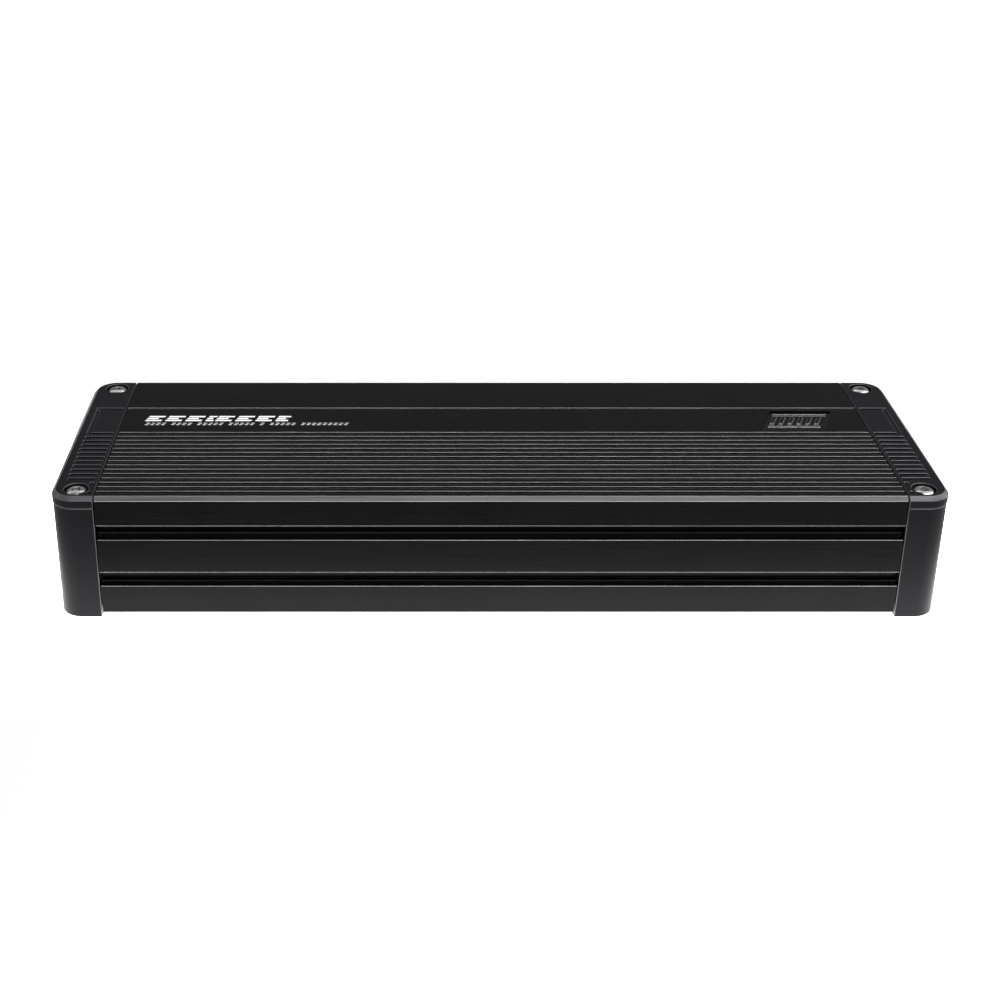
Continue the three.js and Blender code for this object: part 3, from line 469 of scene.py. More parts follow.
def end_outlines(node):
    """The outlines, as (y, z) pairs, of a node's flat face at its lowest X. The longest comes first."""
    mesh = frame["nodes"][node].data
    low = min(vertex.co.x for vertex in mesh.vertices)
    at_end = [abs(vertex.co.x - low) < 1e-6 for vertex in mesh.vertices]
    keys = [(round(v.co.y / MM, 3), round(v.co.z / MM, 3)) for v in mesh.vertices]
    uses = Counter()
    for polygon in mesh.polygons:
        if all(at_end[i] for i in polygon.vertices):
            uses.update(frozenset((keys[i], keys[j])) for i, j in polygon.edge_keys)
    neighbours = {}
    for pair, count in uses.items():
        if count == 1 and len(pair) == 2:
            a, b = pair
            neighbours.setdefault(a, []).append(b)
            neighbours.setdefault(b, []).append(a)
    outlines = []
    while neighbours:
        start = min(neighbours)
        outline = [start]
        step = neighbours.pop(start)[0]
        while step != start:
            onward = [point for point in neighbours.pop(step) if point != outline[-1]]
            outline.append(step)
            step = onward[0]
        outlines.append(outline)
    return sorted(outlines, key=len, reverse=True)


def in_turn(points):
    """Each point of a closed outline, between the one before it and the one after it."""
    points = [Vector(point) for point in points]
    return zip(points[-1:] + points[:-1], points, points[1:] + points[:1])


def corners_only(points):
    """The outline without points that lie on a straight stretch, turning anticlockwise."""
    kept = []
    for corner, (before, here, after) in zip(points, in_turn(points)):
        if abs((before - here).normalized().cross((after - here).normalized())) > 1e-3:
            kept.append(corner)
    double_area = sum(a[0] * b[1] - b[0] * a[1] for a, b in zip(kept, kept[1:] + kept[:1]))
    return kept if double_area > 0 else kept[::-1]


def rounded(points, radius, steps=ROUNDING_STEPS):
    """The outline with its corners rounded."""
    rounded_points = []
    for previous, here, following in in_turn(points):
        before = previous - here
        after = following - here
        reach = min(radius, 0.45 * before.length, 0.45 * after.length)
        start = here + before.normalized() * reach
        end = here + after.normalized() * reach
        for step in range(steps + 1):
            t = step / steps
            rounded_points.append((1 - t) ** 2 * start + 2 * t * (1 - t) * here + t**2 * end)
    return rounded_points


def shrunk(points, distance):
    """An anticlockwise outline moved inwards."""
    moved = []
    for before, here, after in in_turn(points):
        back = (here - before).normalized()
        ahead = (after - here).normalized()
        inward = Vector((-back.y, back.x)) + Vector((-ahead.y, ahead.x))
        moved.append(here + inward * (distance / (1 + back.dot(ahead))))
    return moved


sink_low, sink_high, _ = box_mm("heat_sink")
outlines = end_outlines("heat_sink")
sink_corners = corners_only(outlines[0])
TOP = sink_high.z
top_stretches = sorted(
    (min(a[0], b[0]), max(a[0], b[0]))
    for a, b in zip(sink_corners, sink_corners[1:] + sink_corners[:1])
    if abs(a[1] - TOP) < 1e-2 and abs(b[1] - TOP) < 1e-2
)
*ribs, text_band, rear_band = top_stretches
fin_grooves = [(a[1], b[0]) for a, b in zip(ribs, ribs[1:] + [text_band])]
band_groove = (text_band[1], rear_band[0])

BADGE_DEPTH = 1.1
BADGE_SLANT = math.radians(22)
BADGE_WIDTH = 26.5
BADGE_FROM_END = 11.2  # from the housing's right end
BADGE_MARGIN = 2.0  # from the band's edges


def slanted(x0, x1, y0, y1, slant):
    """A parallelogram whose sides lean towards +X."""
    lean = (y1 - y0) * math.tan(slant)
    return [(x0, y0), (x1, y0), (x1 + lean, y1), (x0 + lean, y1)]


badge_y0 = text_band[0] + BADGE_MARGIN
badge_y1 = text_band[1] - BADGE_MARGIN
badge_x1 = sink_high.x - BADGE_FROM_END - (badge_y1 - badge_y0) * math.tan(BADGE_SLANT)
badge_x0 = badge_x1 - BADGE_WIDTH
badge_outline = rounded(slanted(badge_x0, badge_x1, badge_y0, badge_y1, BADGE_SLANT), 1.2, 6)


def corner_wear_and_highlight():
    """How much edge colour, a painted highlight with some rubbed-through finish, the housing gets at each
    corner of its outline: most on top, not at all at inward corners.
    """
    wear_and_highlight = []
    for before, here, after in in_turn(sink_corners):
        if (here - before).cross(after - here) <= 0:
            wear_and_highlight.append(0.0)
        elif here.y > TOP - LID_CHAMFER - 2 * EDGE:
            wear_and_highlight.append(1.0)
        elif abs(here.x) > sink_high.y - 2 * EDGE:
            wear_and_highlight.append(LIP_WEAR_AND_HIGHLIGHT)
        else:
            wear_and_highlight.append(SLOT_WEAR_AND_HIGHLIGHT)
    return wear_and_highlight


def face_wear_and_highlight(levels, count):
    """The edge colour, a painted highlight with some rubbed-through finish, of each face of the housing's
    skin, which is on its rounded corners between its ends.
    """
    wear_and_highlight = corner_wear_and_highlight()
    values = []
    for level in range(levels - 1):
        for i in range(count):
            corner, step = divmod(i, ROUNDING_STEPS + 1)
            values.append(wear_and_highlight[corner] if level == 1 and step < ROUNDING_STEPS else 0.0)
    return values + [0.0, 0.0]


def heat_sink():
    full = rounded(sink_corners, EDGE)
    tight = shrunk(full, 0.5 * EDGE)
    places = (sink_low.x, sink_low.x + EDGE, sink_high.x - EDGE, sink_high.x)
    rings = []
    for outline, x in zip((tight, full, full, tight), places):
        rings.append([place("x", point.x, point.y, x) for point in outline])
    solid = skin("heat_sink_extrusion", rings)
    mark_edges(solid.data, face_wear_and_highlight(len(rings), len(full)))
    tools = []
    for port in outlines[1 : 1 + PORT_COUNT]:
        middle = (sum(p[0] for p in port) / len(port), sum(p[1] for p in port) / len(port))
        radius = max(math.dist(p, middle) for p in port)
        tools.append(rod("x", middle, sink_low.x - 1, sink_high.x + 1, radius))
    for corner in CORNERS:
        _, high, middle = box_mm("plate_screw_" + corner)
        tools.append(rod("z", middle.xy, 0, high.z + 1, PLATE_SCREW_HOLE))
    tools.append(prism("pocket", badge_outline, "z", TOP - BADGE_DEPTH, TOP + 1))
    combine(solid, tools)
    # The top chamfers get a share of the edge colour as a painted highlight.
    finished(solid, "heat_sink_extrusion", "housing", ["heat_sink"], slopes=0.18)


heat_sink()


# --- Badge and print, both plain marks ---

BADGE_BARS = 6
BADGE_MATCH = 0.15  # gap round the badge
PRINT_FROM_END = 9.6  # from the housing's left end
PRINT_SLANT = math.radians(16)
MARK_LINE = (14.2, 5.2)  # lowest edge and height of the large marks
DASH_LINE = (10.3, 1.9)  # and of the small ones
MARK_WIDTHS = (8.6, 8.6, 8.6, 4.2, 8.6, 8.6, 8.6, 6.6)
DASH_INDENT = 0.5
DASH_GROUPS = (4, 4, 5, 5, 1, 5, 9)  # small marks in each group
DASH_WIDTH = 2.3
DASH_SPACE = 1.9  # between the groups
MARK_STROKES = ((0, 0.24, 0.8), (0.38, 0.62, 0.55), (0.76, 1, 0.8))  # from, to, share of the mark's width
DASH_STROKES = ((0, 0.2, 0.62), (0.8, 1, 0.62))


def badge_bar(start, width, low, height):
    """A raised bar of the badge, placed from the badge's lower left corner."""
    x = badge_x0 + start + low * math.tan(BADGE_SLANT)
    outline = slanted(x, x + width, badge_y0 + low, badge_y0 + low + height, BADGE_SLANT)
    return prism("bar", rounded(outline, 0.4, 4), "z", TOP - 1.0, TOP - 0.05)


def badge():
    outline = shrunk(badge_outline, BADGE_MATCH)
    plate = prism("badge_plate", outline, "z", TOP - BADGE_DEPTH - 0.05, TOP - 0.75)
    height = badge_y1 - badge_y0
    pitch = (BADGE_WIDTH - 3.6) / BADGE_BARS
    bars = [badge_bar(2.4 + i * pitch, 0.45 * pitch, 7.0, height - 12.4) for i in range(BADGE_BARS)]
    bars.append(badge_bar(2.2, BADGE_WIDTH - 4.0, 4.2, 1.1))
    bars.append(badge_bar(1.6, BADGE_WIDTH - 3.2, height - 3.4, 1.3))
    combine(plate, bars, "UNION")
    finished(plate, "badge_plate", "housing", edge=0.15, look="badge")


def print_line(start, line, widths, strokes):
    """A row of slanted marks, each of a few thin bars."""
    low, height = line
    marks = []
    for width in widths:
        for v0, v1, share in strokes:
            x = start + v0 * height * math.tan(PRINT_SLANT)
            outline = slanted(x, x + share * width, low + v0 * height, low + v1 * height, PRINT_SLANT)
            marks.append(prism("mark", outline, "z", TOP - BITE, TOP + INK))
        start += width
    return marks


def print_marks():
    start = sink_low.x + PRINT_FROM_END
    marks = print_line(start, MARK_LINE, MARK_WIDTHS, MARK_STROKES)
    start += DASH_INDENT
    for count in DASH_GROUPS:
        marks += print_line(start, DASH_LINE, [DASH_WIDTH] * count, DASH_STROKES)
        start += count * DASH_WIDTH + DASH_SPACE
    finished(joined("top_print", marks), "top_print", "housing", look="ink")


badge()
print_marks()


# --- End caps and lids, built at the right end and mirrored for the left one ---

POST_LAP = 1.2  # the panel laps the posts and the sill by this much
SILL = 5.5
REBATE = 2.4
LID_PLATE = 2.6
LID_SKIRT = 3.0
LID_RADIUS = 9.5
LID_GROOVE_DEPTH = 1.1
PAD_INSET = 1.4
PAD_LENGTH = 11.3
PAD_GROOVE = 1.6
FIRST_LID_GROOVE = 3
STUB_GROOVES = (0, 2)
STUB_LENGTH = 1.6
LID_BORE = (4.9, 2.7)  # radius and depth of the recess round a lid screw
CAP_BORE = (2.9, 3.0)
LID_SCREW_HOLE = 2.3
CAP_SCREW_HOLE = 1.7
CORNER_STEPS = 24

cap_low, cap_high, _ = box_mm("end_cap_right")
lid_low, lid_high, _ = box_mm("lid_right")
panel_high = box_mm("power_panel")[1]
window_y = panel_high.y + GAP - POST_LAP
rebate_y = panel_high.y + GAP


def end_plan(inner, outer, half_width, radius):
    """A plan with rounded outer corners, from the inner edge to the outer one."""
    plan = [(inner, -half_width)]
    for side, first in ((-1, -math.pi / 2), (1, 0.0)):
        for i in range(CORNER_STEPS + 1):
            angle = first + math.pi / 2 * i / CORNER_STEPS
            x = outer - radius + radius * math.cos(angle)
            plan.append((x, side * (half_width - radius) + radius * math.sin(angle)))
    plan.append((inner, half_width))
    return plan


def end_cap():
    plan = end_plan(cap_low.x, cap_high.x, cap_high.y, LID_RADIUS - (lid_high.y - cap_high.y))
    solid = prism("end_cap", plan, "z", cap_low.z, cap_high.z)
    back = cap_low.x - 1
    far = cap_high.x + 1
    top = cap_high.z + 1
    tools = [
        block((back, -window_y, SILL), (far, window_y, top)),
        block((back, -rebate_y, SILL - POST_LAP), (cap_low.x + REBATE, rebate_y, top)),
    ]
    for corner in ("front", "rear"):
        low, _, middle = box_mm(f"lid_screw_{corner}_right")
        tools.append(rod("z", middle.xy, low.z - 1, top, LID_SCREW_HOLE))
        spot = centre_mm(f"cap_screw_{corner}_right").yz
        tools.append(rod("x", spot, back, far, CAP_SCREW_HOLE))
        tools.append(rod("x", spot, cap_high.x - CAP_BORE[1], far, CAP_BORE[0]))
    return combine(solid, tools)


def lid():
    top_plan = end_plan(
        lid_low.x, lid_high.x - LID_CHAMFER, lid_high.y - LID_CHAMFER, LID_RADIUS - LID_CHAMFER
    )
    plan = end_plan(lid_low.x, lid_high.x, lid_high.y, LID_RADIUS)
    levels = ((plan, lid_low.z), (plan, TOP - LID_CHAMFER), (top_plan, TOP))
    solid = skin("lid", [[(x, y, z) for x, y in outline] for outline, z in levels])
    under = lid_high.z - LID_PLATE
    tools = [
        block((lid_low.x - 1, -window_y, 0), (lid_high.x - LID_SKIRT, window_y, under)),
        block((lid_low.x - 1, -rebate_y, 0), (lid_low.x + REBATE, rebate_y, under)),
    ]
    pad_start = lid_low.x + PAD_INSET
    pad_end = pad_start + PAD_LENGTH
    floor_z = TOP - LID_GROOVE_DEPTH
    lines = [(groove, pad_end) for groove in fin_grooves[FIRST_LID_GROOVE:] + [band_groove]]
    lines += [(fin_grooves[i], pad_start + STUB_LENGTH) for i in STUB_GROOVES]
    for (y0, y1), end in lines:
        tools.append(block((pad_start, y0, floor_z), (end, y1, TOP + 1)))
    tools.append(
        block((pad_end - PAD_GROOVE, fin_grooves[-1][0], floor_z), (pad_end, band_groove[1], TOP + 1))
    )
    for corner in ("front", "rear"):
        spot = centre_mm(f"lid_screw_{corner}_right").xy
        tools.append(rod("z", spot, 0, TOP + 1, LID_SCREW_HOLE))
        tools.append(rod("z", spot, TOP - LID_BORE[1], TOP + 1, LID_BORE[0]))
    return combine(solid, tools)


for end in ("right", "left"):
    for part, make, edge in (("end_cap", end_cap, MOULD_EDGE), ("lid", lid, 0.22)):
        solid = make()
        if end == "left":
            mirror_x(solid)
        node = f"{part}_{end}"
        # Their rounded edges and chamfers get the edge colour as a painted highlight.
        finished(solid, node + "_moulding", "end_caps", [node], edge, slopes=0.85, flat_tops=True)


# --- Screws ---


def screw(node, axis, direction, socket, slot):
    """A pan-head screw with a hexagon socket, whose head faces along the axis in the direction given."""
    low, high, middle = box_mm(node)
    index = "xyz".index(axis)
    others = [i for i in range(3) if i != index]
    spot = (middle[others[0]], middle[others[1]])
    head = (high[others[0]] - low[others[0]]) / 2
    tip, top = (low[index], high[index]) if direction > 0 else (high[index], low[index])
    length = abs(top - tip)
    rise = 0.56 * head
    shank = 0.49 * head
    profile = [
        (0, 0), (shank - 0.5, 0), (shank, 0.6), (shank, length - rise), (head - 0.15, length - rise),
        (head, length - rise + 0.15),
    ]
    dome = ((1, 0.62), (0.985, 0.48), (0.94, 0.34), (0.86, 0.2), (0.74, 0.09), (0.6, 0.02))
    profile += [(across * head, length - down * rise) for across, down in dome]
    profile += [(0.5 * head, length), (0, length)]
    name = node + "_steel"
    solid = lathe(name, axis, spot, [(r, tip + direction * along) for r, along in profile])
    start = top - direction * 0.62 * rise
    combine(solid, [rod(axis, spot, start, top + direction, socket / math.sqrt(3), sides=6, turn=0.3)])
    finished(solid, name, slot, [node], edge=0.1)


for end, facing in (("left", -1), ("right", 1)):
    for corner in ("front", "rear"):
        screw(f"lid_screw_{corner}_{end}", "z", 1, 3.3, "lid_screws")
        screw(f"cap_screw_{corner}_{end}", "x", facing, 1.7, "small_screws")
        screw(f"plate_screw_{corner}_{end}", "z", -1, 1.6, "small_screws")


# --- Shared shapes of the connectors ---

WALL = 1.4  # terminal plastic round a wire entry
ENTRY_SPARE = 0.7  # wire entry beyond its screw on each side
DIVIDER = (0.7, 0.5)  # width and depth of the grooves between the poles
CAGE_WALL = 0.55
CAGE_GAP = 0.125
THREAD = (0.12, 0.55)  # depth and pitch


def mouth(outline, face, depth, corner=0.6, flare=0.45):
    """A tool along X for an opening with rounded corners and a sloping lip."""
    plain = rounded(outline, corner, 4)
    wide = shrunk(plain, -flare)
    rings = []
    for ring, along in ((plain, -depth), (plain, -flare), (wide, BITE), (wide, 1)):
        rings.append([place("x", p.x, p.y, face + along) for p in ring])
    return skin("mouth", rings)


def well(spot, radius, low, high, lip=0.4):
    """A tool along Z for a round well with a sloping lip."""
    wide = radius + lip
    steep = [(0, low), (radius, low), (radius, high - lip)]
    return lathe("well", "z", spot, steep + [(wide, high + BITE), (wide, high + 1), (0, high + 1)])


def set_screw(name, spot, radius, foot, top, socket_sides, nodes=()):
    """A headless screw with a thread, and a hexagon socket or a slot in its top."""
    thread, pitch = THREAD
    profile = [(0, foot), (radius - 0.5, foot), (radius - thread, foot + 0.35)]
    along = foot + 0.5
    while along + pitch < top - 0.4:
        profile += [(radius, along + 0.2), (radius, along + 0.3), (radius - thread, along + pitch)]
        along += pitch
    profile += [(radius, top - 0.3), (radius - 0.3, top), (0, top)]
    solid = lathe(name, "z", spot, profile)
    if socket_sides:
        tool = rod("z", spot, (foot + top) / 2, top + 1, radius / 2, socket_sides)
    else:
        x, y = spot
        tool = block((x - radius - 1, y - 0.28, top - 0.9), (x + radius + 1, y + 0.28, top + 1))
    combine(solid, [tool])
    finished(solid, name, "plated_brass", nodes)


def cage(name, middle, size, face, depth):
    """The metal cage inside a wire entry, with a ribbed floor that grips the wire."""
    outer = size - 2 * CAGE_GAP
    back = face - depth + 0.15
    solid = prism(name, rounded(around(middle, outer, outer), 0.55, 4), "x", back, face - 1.3)
    room = rounded(around(middle, outer - 2 * CAGE_WALL, outer - 2 * CAGE_WALL), 0.35, 3)
    tools = [prism("room", room, "x", back + CAGE_WALL, face)]
    bottom = middle[1] - size / 2 + CAGE_GAP + CAGE_WALL
    for step in range(4):
        x = face - 2.6 - 1.3 * step
        start = (x - 0.2, middle[0] - 0.3 * size, bottom - 0.2)
        tools.append(block(start, (x + 0.2, middle[0] + 0.3 * size, bottom + 0.3)))
    combine(solid, tools)
    finished(solid, name, "plated_brass", edge=0.08, segments=1)


def plastic(solid, tools, node, edge=MOULD_EDGE):
    finished(combine(solid, tools), node + "_moulding", "connectors", [node], edge)


# --- Power end ---

POLES = ("ground", "remote", "battery")
POWER_ENTRY_DEPTH = 12
SPEAKER_ENTRY_DEPTH = 8
SPEAKER_STEP = 6
SPEAKER_COLUMNS = 4
SPEAKER_WEB = 2.4
FUSE_SUNK = 2
FUSE_BODY_LENGTH = 8
FUSE_WAIST = 0.6
FUSE_BLADE = (0.8, 5)  # thickness and width
FUSE_BLADE_OFF = 6  # from the fuse's middle
SIDES = (-1, 1)


def dividers(middles, face, back, top):
    """Tools for the grooves between the poles, down the face and over the top."""
    width, depth = DIVIDER
    tools = []
    for a, b in zip(middles, middles[1:]):
        y = (a + b) / 2
        tools.append(block((face - depth, y - width / 2, 0), (face + 1, y + width / 2, top + 1)))
        tools.append(block((back, y - width / 2, top - depth), (face + 1, y + width / 2, top + 1)))
    return tools


def power_terminals():
    low, high, _ = box_mm("power_terminal_block")
    solid = block(low, high)
    tools = []
    middles = []
    for pole in POLES:
        node = "power_terminal_screw_" + pole
        foot, top, (x, y, _) = box_mm(node)
        radius = (top.y - foot.y) / 2
        size = 2 * (radius + ENTRY_SPARE)
        middle = (y, low.z + WALL + size / 2)
        middles.append(y)
        tools.append(mouth(around(middle, size, size), high.x, POWER_ENTRY_DEPTH, corner=0.9))
        tools.append(well((x, y), radius + GAP, middle[1], high.z))
        cage(f"power_cage_{pole}", middle, size, high.x, POWER_ENTRY_DEPTH)
        set_screw(node + "_brass", (x, y), radius, foot.z, top.z, 6, [node])
    tools += dividers(middles, high.x, low.x + 10, high.z)
    plastic(solid, tools, "power_terminal_block")


def speaker_columns():
    """The pitch of the speaker terminals and the Y of each column's middle."""
    low, high, _ = box_mm("speaker_terminal_block")
    pitch = (high.y - low.y - WALL) / SPEAKER_COLUMNS
    return pitch, [low.y + WALL / 2 + pitch * (column + 0.5) for column in range(SPEAKER_COLUMNS)]


def speaker_terminals():
    low, high, (_, _, step_z) = box_mm("speaker_terminal_block")
    step_x = high.x - SPEAKER_STEP
    profile = rectangle(low.x, high.x, low.z, step_z)[:3]
    profile += [(step_x, step_z), (step_x, high.z), (low.x, high.z)]
    solid = prism("speaker_terminals", profile, "y", low.y, high.y)
    pitch, middles = speaker_columns()
    size = pitch - SPEAKER_WEB
    radius = size / 2 - ENTRY_SPARE
    tools = []
    number = 0
    for face, floor_z, top in ((high.x, low.z, step_z), (step_x, step_z, high.z)):
        for y in middles:
            number += 1
            middle = (y, floor_z + WALL + size / 2)
            spot = (face - SPEAKER_STEP / 2, y)
            tools.append(mouth(around(middle, size, size), face, SPEAKER_ENTRY_DEPTH, flare=0.35))
            tools.append(well(spot, radius, middle[1], top, 0.25))
            cage(f"speaker_cage_{number}", middle, size, face, SPEAKER_ENTRY_DEPTH)
            foot = middle[1] + size / 2 + 0.1
            set_screw(f"speaker_terminal_screw_{number}", spot, radius - 0.1, foot, top - 0.6, 0)
    tools += dividers(middles, high.x, step_x, step_z)
    tools += dividers(middles, step_x, low.x + 10, high.z)
    plastic(solid, tools, "speaker_terminal_block", 0.2)


def fuse_holder():
    low, high, _ = box_mm("fuse_holder")
    thickness, width = FUSE_BLADE
    tools = []
    for node in ("fuse_1", "fuse_2"):
        fuse_low, fuse_high, (_, y, middle_z) = box_mm(node)
        size = fuse_high - fuse_low
        pocket = around((y, middle_z), size.y + 2 * GAP, size.z + 2 * GAP)
        tools.append(mouth(pocket, high.x, FUSE_SUNK, corner=0.5, flare=0.3))
        for side in SIDES:
            z = middle_z + side * (size.z / 2 - 3.5)
            slot = around((y, z), thickness + 2 * GAP, width + 2 * GAP)
            tools.append(prism("slot", slot, "x", fuse_low.x - GAP, high.x))
            z = middle_z + side * (size.z / 2 + 1)
            notch = rounded(around((y, z), 2.4, 1.8), 0.6, 3)
            tools.append(prism("notch", notch, "x", high.x - FUSE_SUNK + 0.6, high.x + 1))
    plastic(block(low, high), tools, "fuse_holder", 0.25)


def fuse(node):
    low, high, middle = box_mm(node)
    back = high.x - FUSE_BODY_LENGTH
    solid = prism("fuse", rounded(rectangle(back, high.x, low.z, high.z), 0.7, 4), "y", low.y, high.y)
    recess = rounded(rectangle(back + 2, high.x - 2, low.z + 2, high.z - 2), 0.8, 4)
    tools = []
    for side, face in ((-1, low.y), (1, high.y)):
        tools.append(prism("waist", recess, "y", *sorted((face - side * FUSE_WAIST, face + side))))
        for step in range(5):
            z = middle.z + 2.6 * (step - 2)
            start, end = sorted((face - side * 0.25, face + side))
            tools.append(block((high.x - 1.4, start, z - 0.5), (high.x - 0.5, end, z + 0.5)))
    blades = []
    thickness, width = FUSE_BLADE
    for side in SIDES:
        z = middle.z + side * FUSE_BLADE_OFF
        tools.append(prism("test_point", around((middle.y, z), 1.1, 2.4), "x", high.x - 1.2, high.x + 1))
        tip = rectangle(low.x + 1.2, back + 1, z - width / 2, z + width / 2)
        tip += [(low.x, z + width / 2 - 1), (low.x, z - width / 2 + 1)]
        blades.append(prism("blade", tip, "y", middle.y - thickness / 2, middle.y + thickness / 2))
    combine(solid, tools)
    finished(solid, node + "_grip", "fuses", [node], 0.18, body=node)
    made = joined("blades", blades)
    finished(made, node + "_blades", "plated_brass", [node], 0.08, body=node, look="fuse_blades")


power_terminals()
speaker_terminals()
fuse_holder()
fuse("fuse_1")
fuse("fuse_2")


# --- Signal end ---

JACK_FACE = 0.9  # the jack block stands out of the panel by this much
JACK_POST = 2.8
JACK_PIN = 1.6
KNOB_RADIUS = 3.5
KNOB_SHAFT = 1.5
KNOB_SLOT = (1.2, 1.5)  # width and depth
FLUTES = 14
FLUTE_STEPS = 10
KNOB_SWEEP = math.radians(140)
KNOB_CLEARANCE = 0.4
SLIDER_TRAVEL = 2.2

signal_low, signal_high, _ = box_mm("signal_panel")


def input_jacks():
    low, high, middle = box_mm("input_jack_block")
    face = signal_low.x - JACK_FACE
    solid = block((face, low.y, low.z), high)
    tools = []
    for number in (1, 2, 3, 4):
        sleeve_low, sleeve_high, jack = box_mm(f"input_jack_sleeve_{number}")
        flange = (sleeve_high.y - sleeve_low.y) / 2
        tools.append(rod("x", jack.yz, face - 1, face + 0.25, flange + 0.25))
        sleeve(number, jack.yz, face, flange)
        insert(number, jack.yz, face, low.x)
    width, depth = DIVIDER
    front, back = face - 1, face + depth
    tools.append(block((front, middle.y - width / 2, 0), (back, middle.y + width / 2, TOP)))
    tools.append(
        block((front, low.y - 1, middle.z - width / 2), (back, high.y + 1, middle.z + width / 2))
    )
    plastic(solid, tools, "input_jack_block")


def sleeve(number, spot, face, flange):
    """A jack's outer contact: a flanged tube with a rolled lip and one groove."""
    profile = [
        (3.1, 0.3), (flange - 0.15, 0.3), (flange, 0.45), (flange, 1.0), (flange - 0.2, 1.25), (4.6, 1.35),
        (4.3, 1.5), (4.15, 1.8), (4.15, 3.2), (3.98, 3.35), (3.98, 3.65), (4.15, 3.8), (4.15, 7.3),
        (4.05, 7.75), (3.8, 8.0), (3.35, 8.0), (3.15, 7.85), (3.1, 7.6),
    ]
    solid = lathe("sleeve", "x", spot, [(r, face - along) for r, along in profile], ring_closed=True)
    node = f"input_jack_sleeve_{number}"
    finished(solid, node + "_metal", "plated_brass", [node])


def insert(number, spot, face, tip):
    """The hollow insulating post inside a sleeve, and the contact at the bottom of its bore."""
    profile = [
        (0, face + 0.9), (JACK_POST, face + 0.9), (JACK_POST, tip + 0.4), (JACK_POST - 0.35, tip),
        (JACK_PIN + 0.3, tip), (JACK_PIN, tip + 0.35), (JACK_PIN, face), (0, face),
    ]
    look = "white_plastic" if number % 2 else "red_plastic"
    solid = lathe("insert", "x", spot, profile)
    finished(solid, f"input_jack_insert_{number}", "connectors", ["input_jack_block"], look=look)
    profile = [(1.1, 0.1), (1.5, 0.1), (1.5, 4.4), (1.35, 4.6), (1.1, 4.3)]
    solid = lathe("contact", "x", spot, [(r, face - along) for r, along in profile], ring_closed=True)
    finished(solid, f"input_jack_contact_{number}", "plated_brass")


def fluted(spot, radius, flute, along):
    """A ring of a knob's grip. Its radius dips at each flute."""
    ring = []
    for i in range(FLUTES * FLUTE_STEPS):
        angle = 2 * math.pi * i / (FLUTES * FLUTE_STEPS)
        r = radius - flute * (0.5 - 0.5 * math.cos(FLUTES * angle))
        ring.append(place("x", spot[0] + r * math.cos(angle), spot[1] + r * math.sin(angle), along))
    return ring


def knob(node):
    low, high, (_, y, z) = box_mm(node)
    grip = signal_high.x - GAP
    levels = (
        (0, 0, high.x), (KNOB_SHAFT - 0.2, 0, high.x), (KNOB_SHAFT, 0, high.x - 0.25),
        (KNOB_SHAFT, 0, grip), (KNOB_RADIUS - 0.2, 0.3, grip), (KNOB_RADIUS, 0.35, grip - 0.2),
        (KNOB_RADIUS, 0.35, low.x + 0.7), (KNOB_RADIUS - 0.12, 0.3, low.x + 0.35),
        (KNOB_RADIUS - 0.4, 0.12, low.x + 0.08), (KNOB_RADIUS - 0.7, 0, low.x), (0, 0, low.x),
    )
    solid = skin(node, [fluted((y, z), *level) for level in levels])
    width, depth = KNOB_SLOT
    tool = block((low.x - 1, low.y - 1, z - width / 2), (low.x + depth, high.y + 1, z + width / 2))
    combine(solid, [tool])
    finished(solid, node + "_grip", "controls", [node], body=node)
    mark = rounded(around((y, z + 2.0), 0.55, 1.3), 0.25, 3)
    pointer = prism("pointer", mark, "x", low.x - INK, low.x + BITE)
    finished(pointer, node + "_pointer", "controls", body=node, look="ink")


def slider(channels):
    node = "filter_slider_" + channels
    low, high, middle = box_mm(node)
    tools = []
    for side in SIDES:
        y = middle.y + side * 0.8
        z = middle.z + side * 1.3
        tools.append(block((low.x - 1, y - 0.3, low.z - 1), (low.x + 0.5, y + 0.3, high.z + 1)))
        tools.append(block((low.x - 1, low.y - 1, z - 0.15), (low.x + 0.2, high.y + 1, z + 0.15)))
    solid = combine(block(low, high), tools)
    finished(solid, node + "_grip", "controls", [node], 0.12, body=node)


def power_light():
    low, high, middle = box_mm("power_light")
    radius = (high.y - low.y) / 2
    profile = [(0, high.x), (radius - 0.15, high.x), (radius, high.x - 0.15), (radius, low.x + radius)]
    for step in range(1, 8):
        angle = math.pi / 2 * step / 8
        profile.append((radius * math.cos(angle), low.x + radius * (1 - math.sin(angle))))
    solid = lathe("power_light", "x", middle.yz, profile + [(0, low.x)])
    finished(solid, "power_light_lens", "light", ["power_light"])


input_jacks()
power_light()
for channels in CHANNELS:
    slider(channels)
    knob("gain_knob_" + channels)
    knob("crossover_knob_" + channels)


# --- Panels and their generic marks ---

TICKS = 11
TICK_WIDTH = 0.22
LONG_TICK = 1.0
SHORT_TICK = 0.6
STROKE = 0.35  # of the plus and minus signs
LINE = 0.25


def window(node):
    """The opening in a panel for a connector, from the connector's box."""
    low, high, middle = box_mm(node)
    size = high - low
    return rounded(around(middle.yz, size.y + 2 * GAP, size.z + 2 * GAP), 0.5, 4)


def round_window(node):
    low, high, middle = box_mm(node)
    return circle((high.y - low.y) / 2 + GAP, middle.yz)


def panel(node, openings):
    low, high, _ = box_mm(node)
    outline = rounded(rectangle(low.y, high.y, low.z, high.z), 1.2, 5)
    tools = [prism("opening", opening, "x", low.x - 1, high.x + 1) for opening in openings]
    solid = combine(prism(node, outline, "x", low.x, high.x), tools)
    finished(solid, node + "_plate", "panels", [node], edge=0.2)


def printed(name, outlines, face, facing):
    ends = sorted((face - facing * BITE, face + facing * INK))
    marks = [prism("mark", outline, "x", *ends) for outline in outlines]
    finished(joined(name, marks), name, "panels", look="ink")


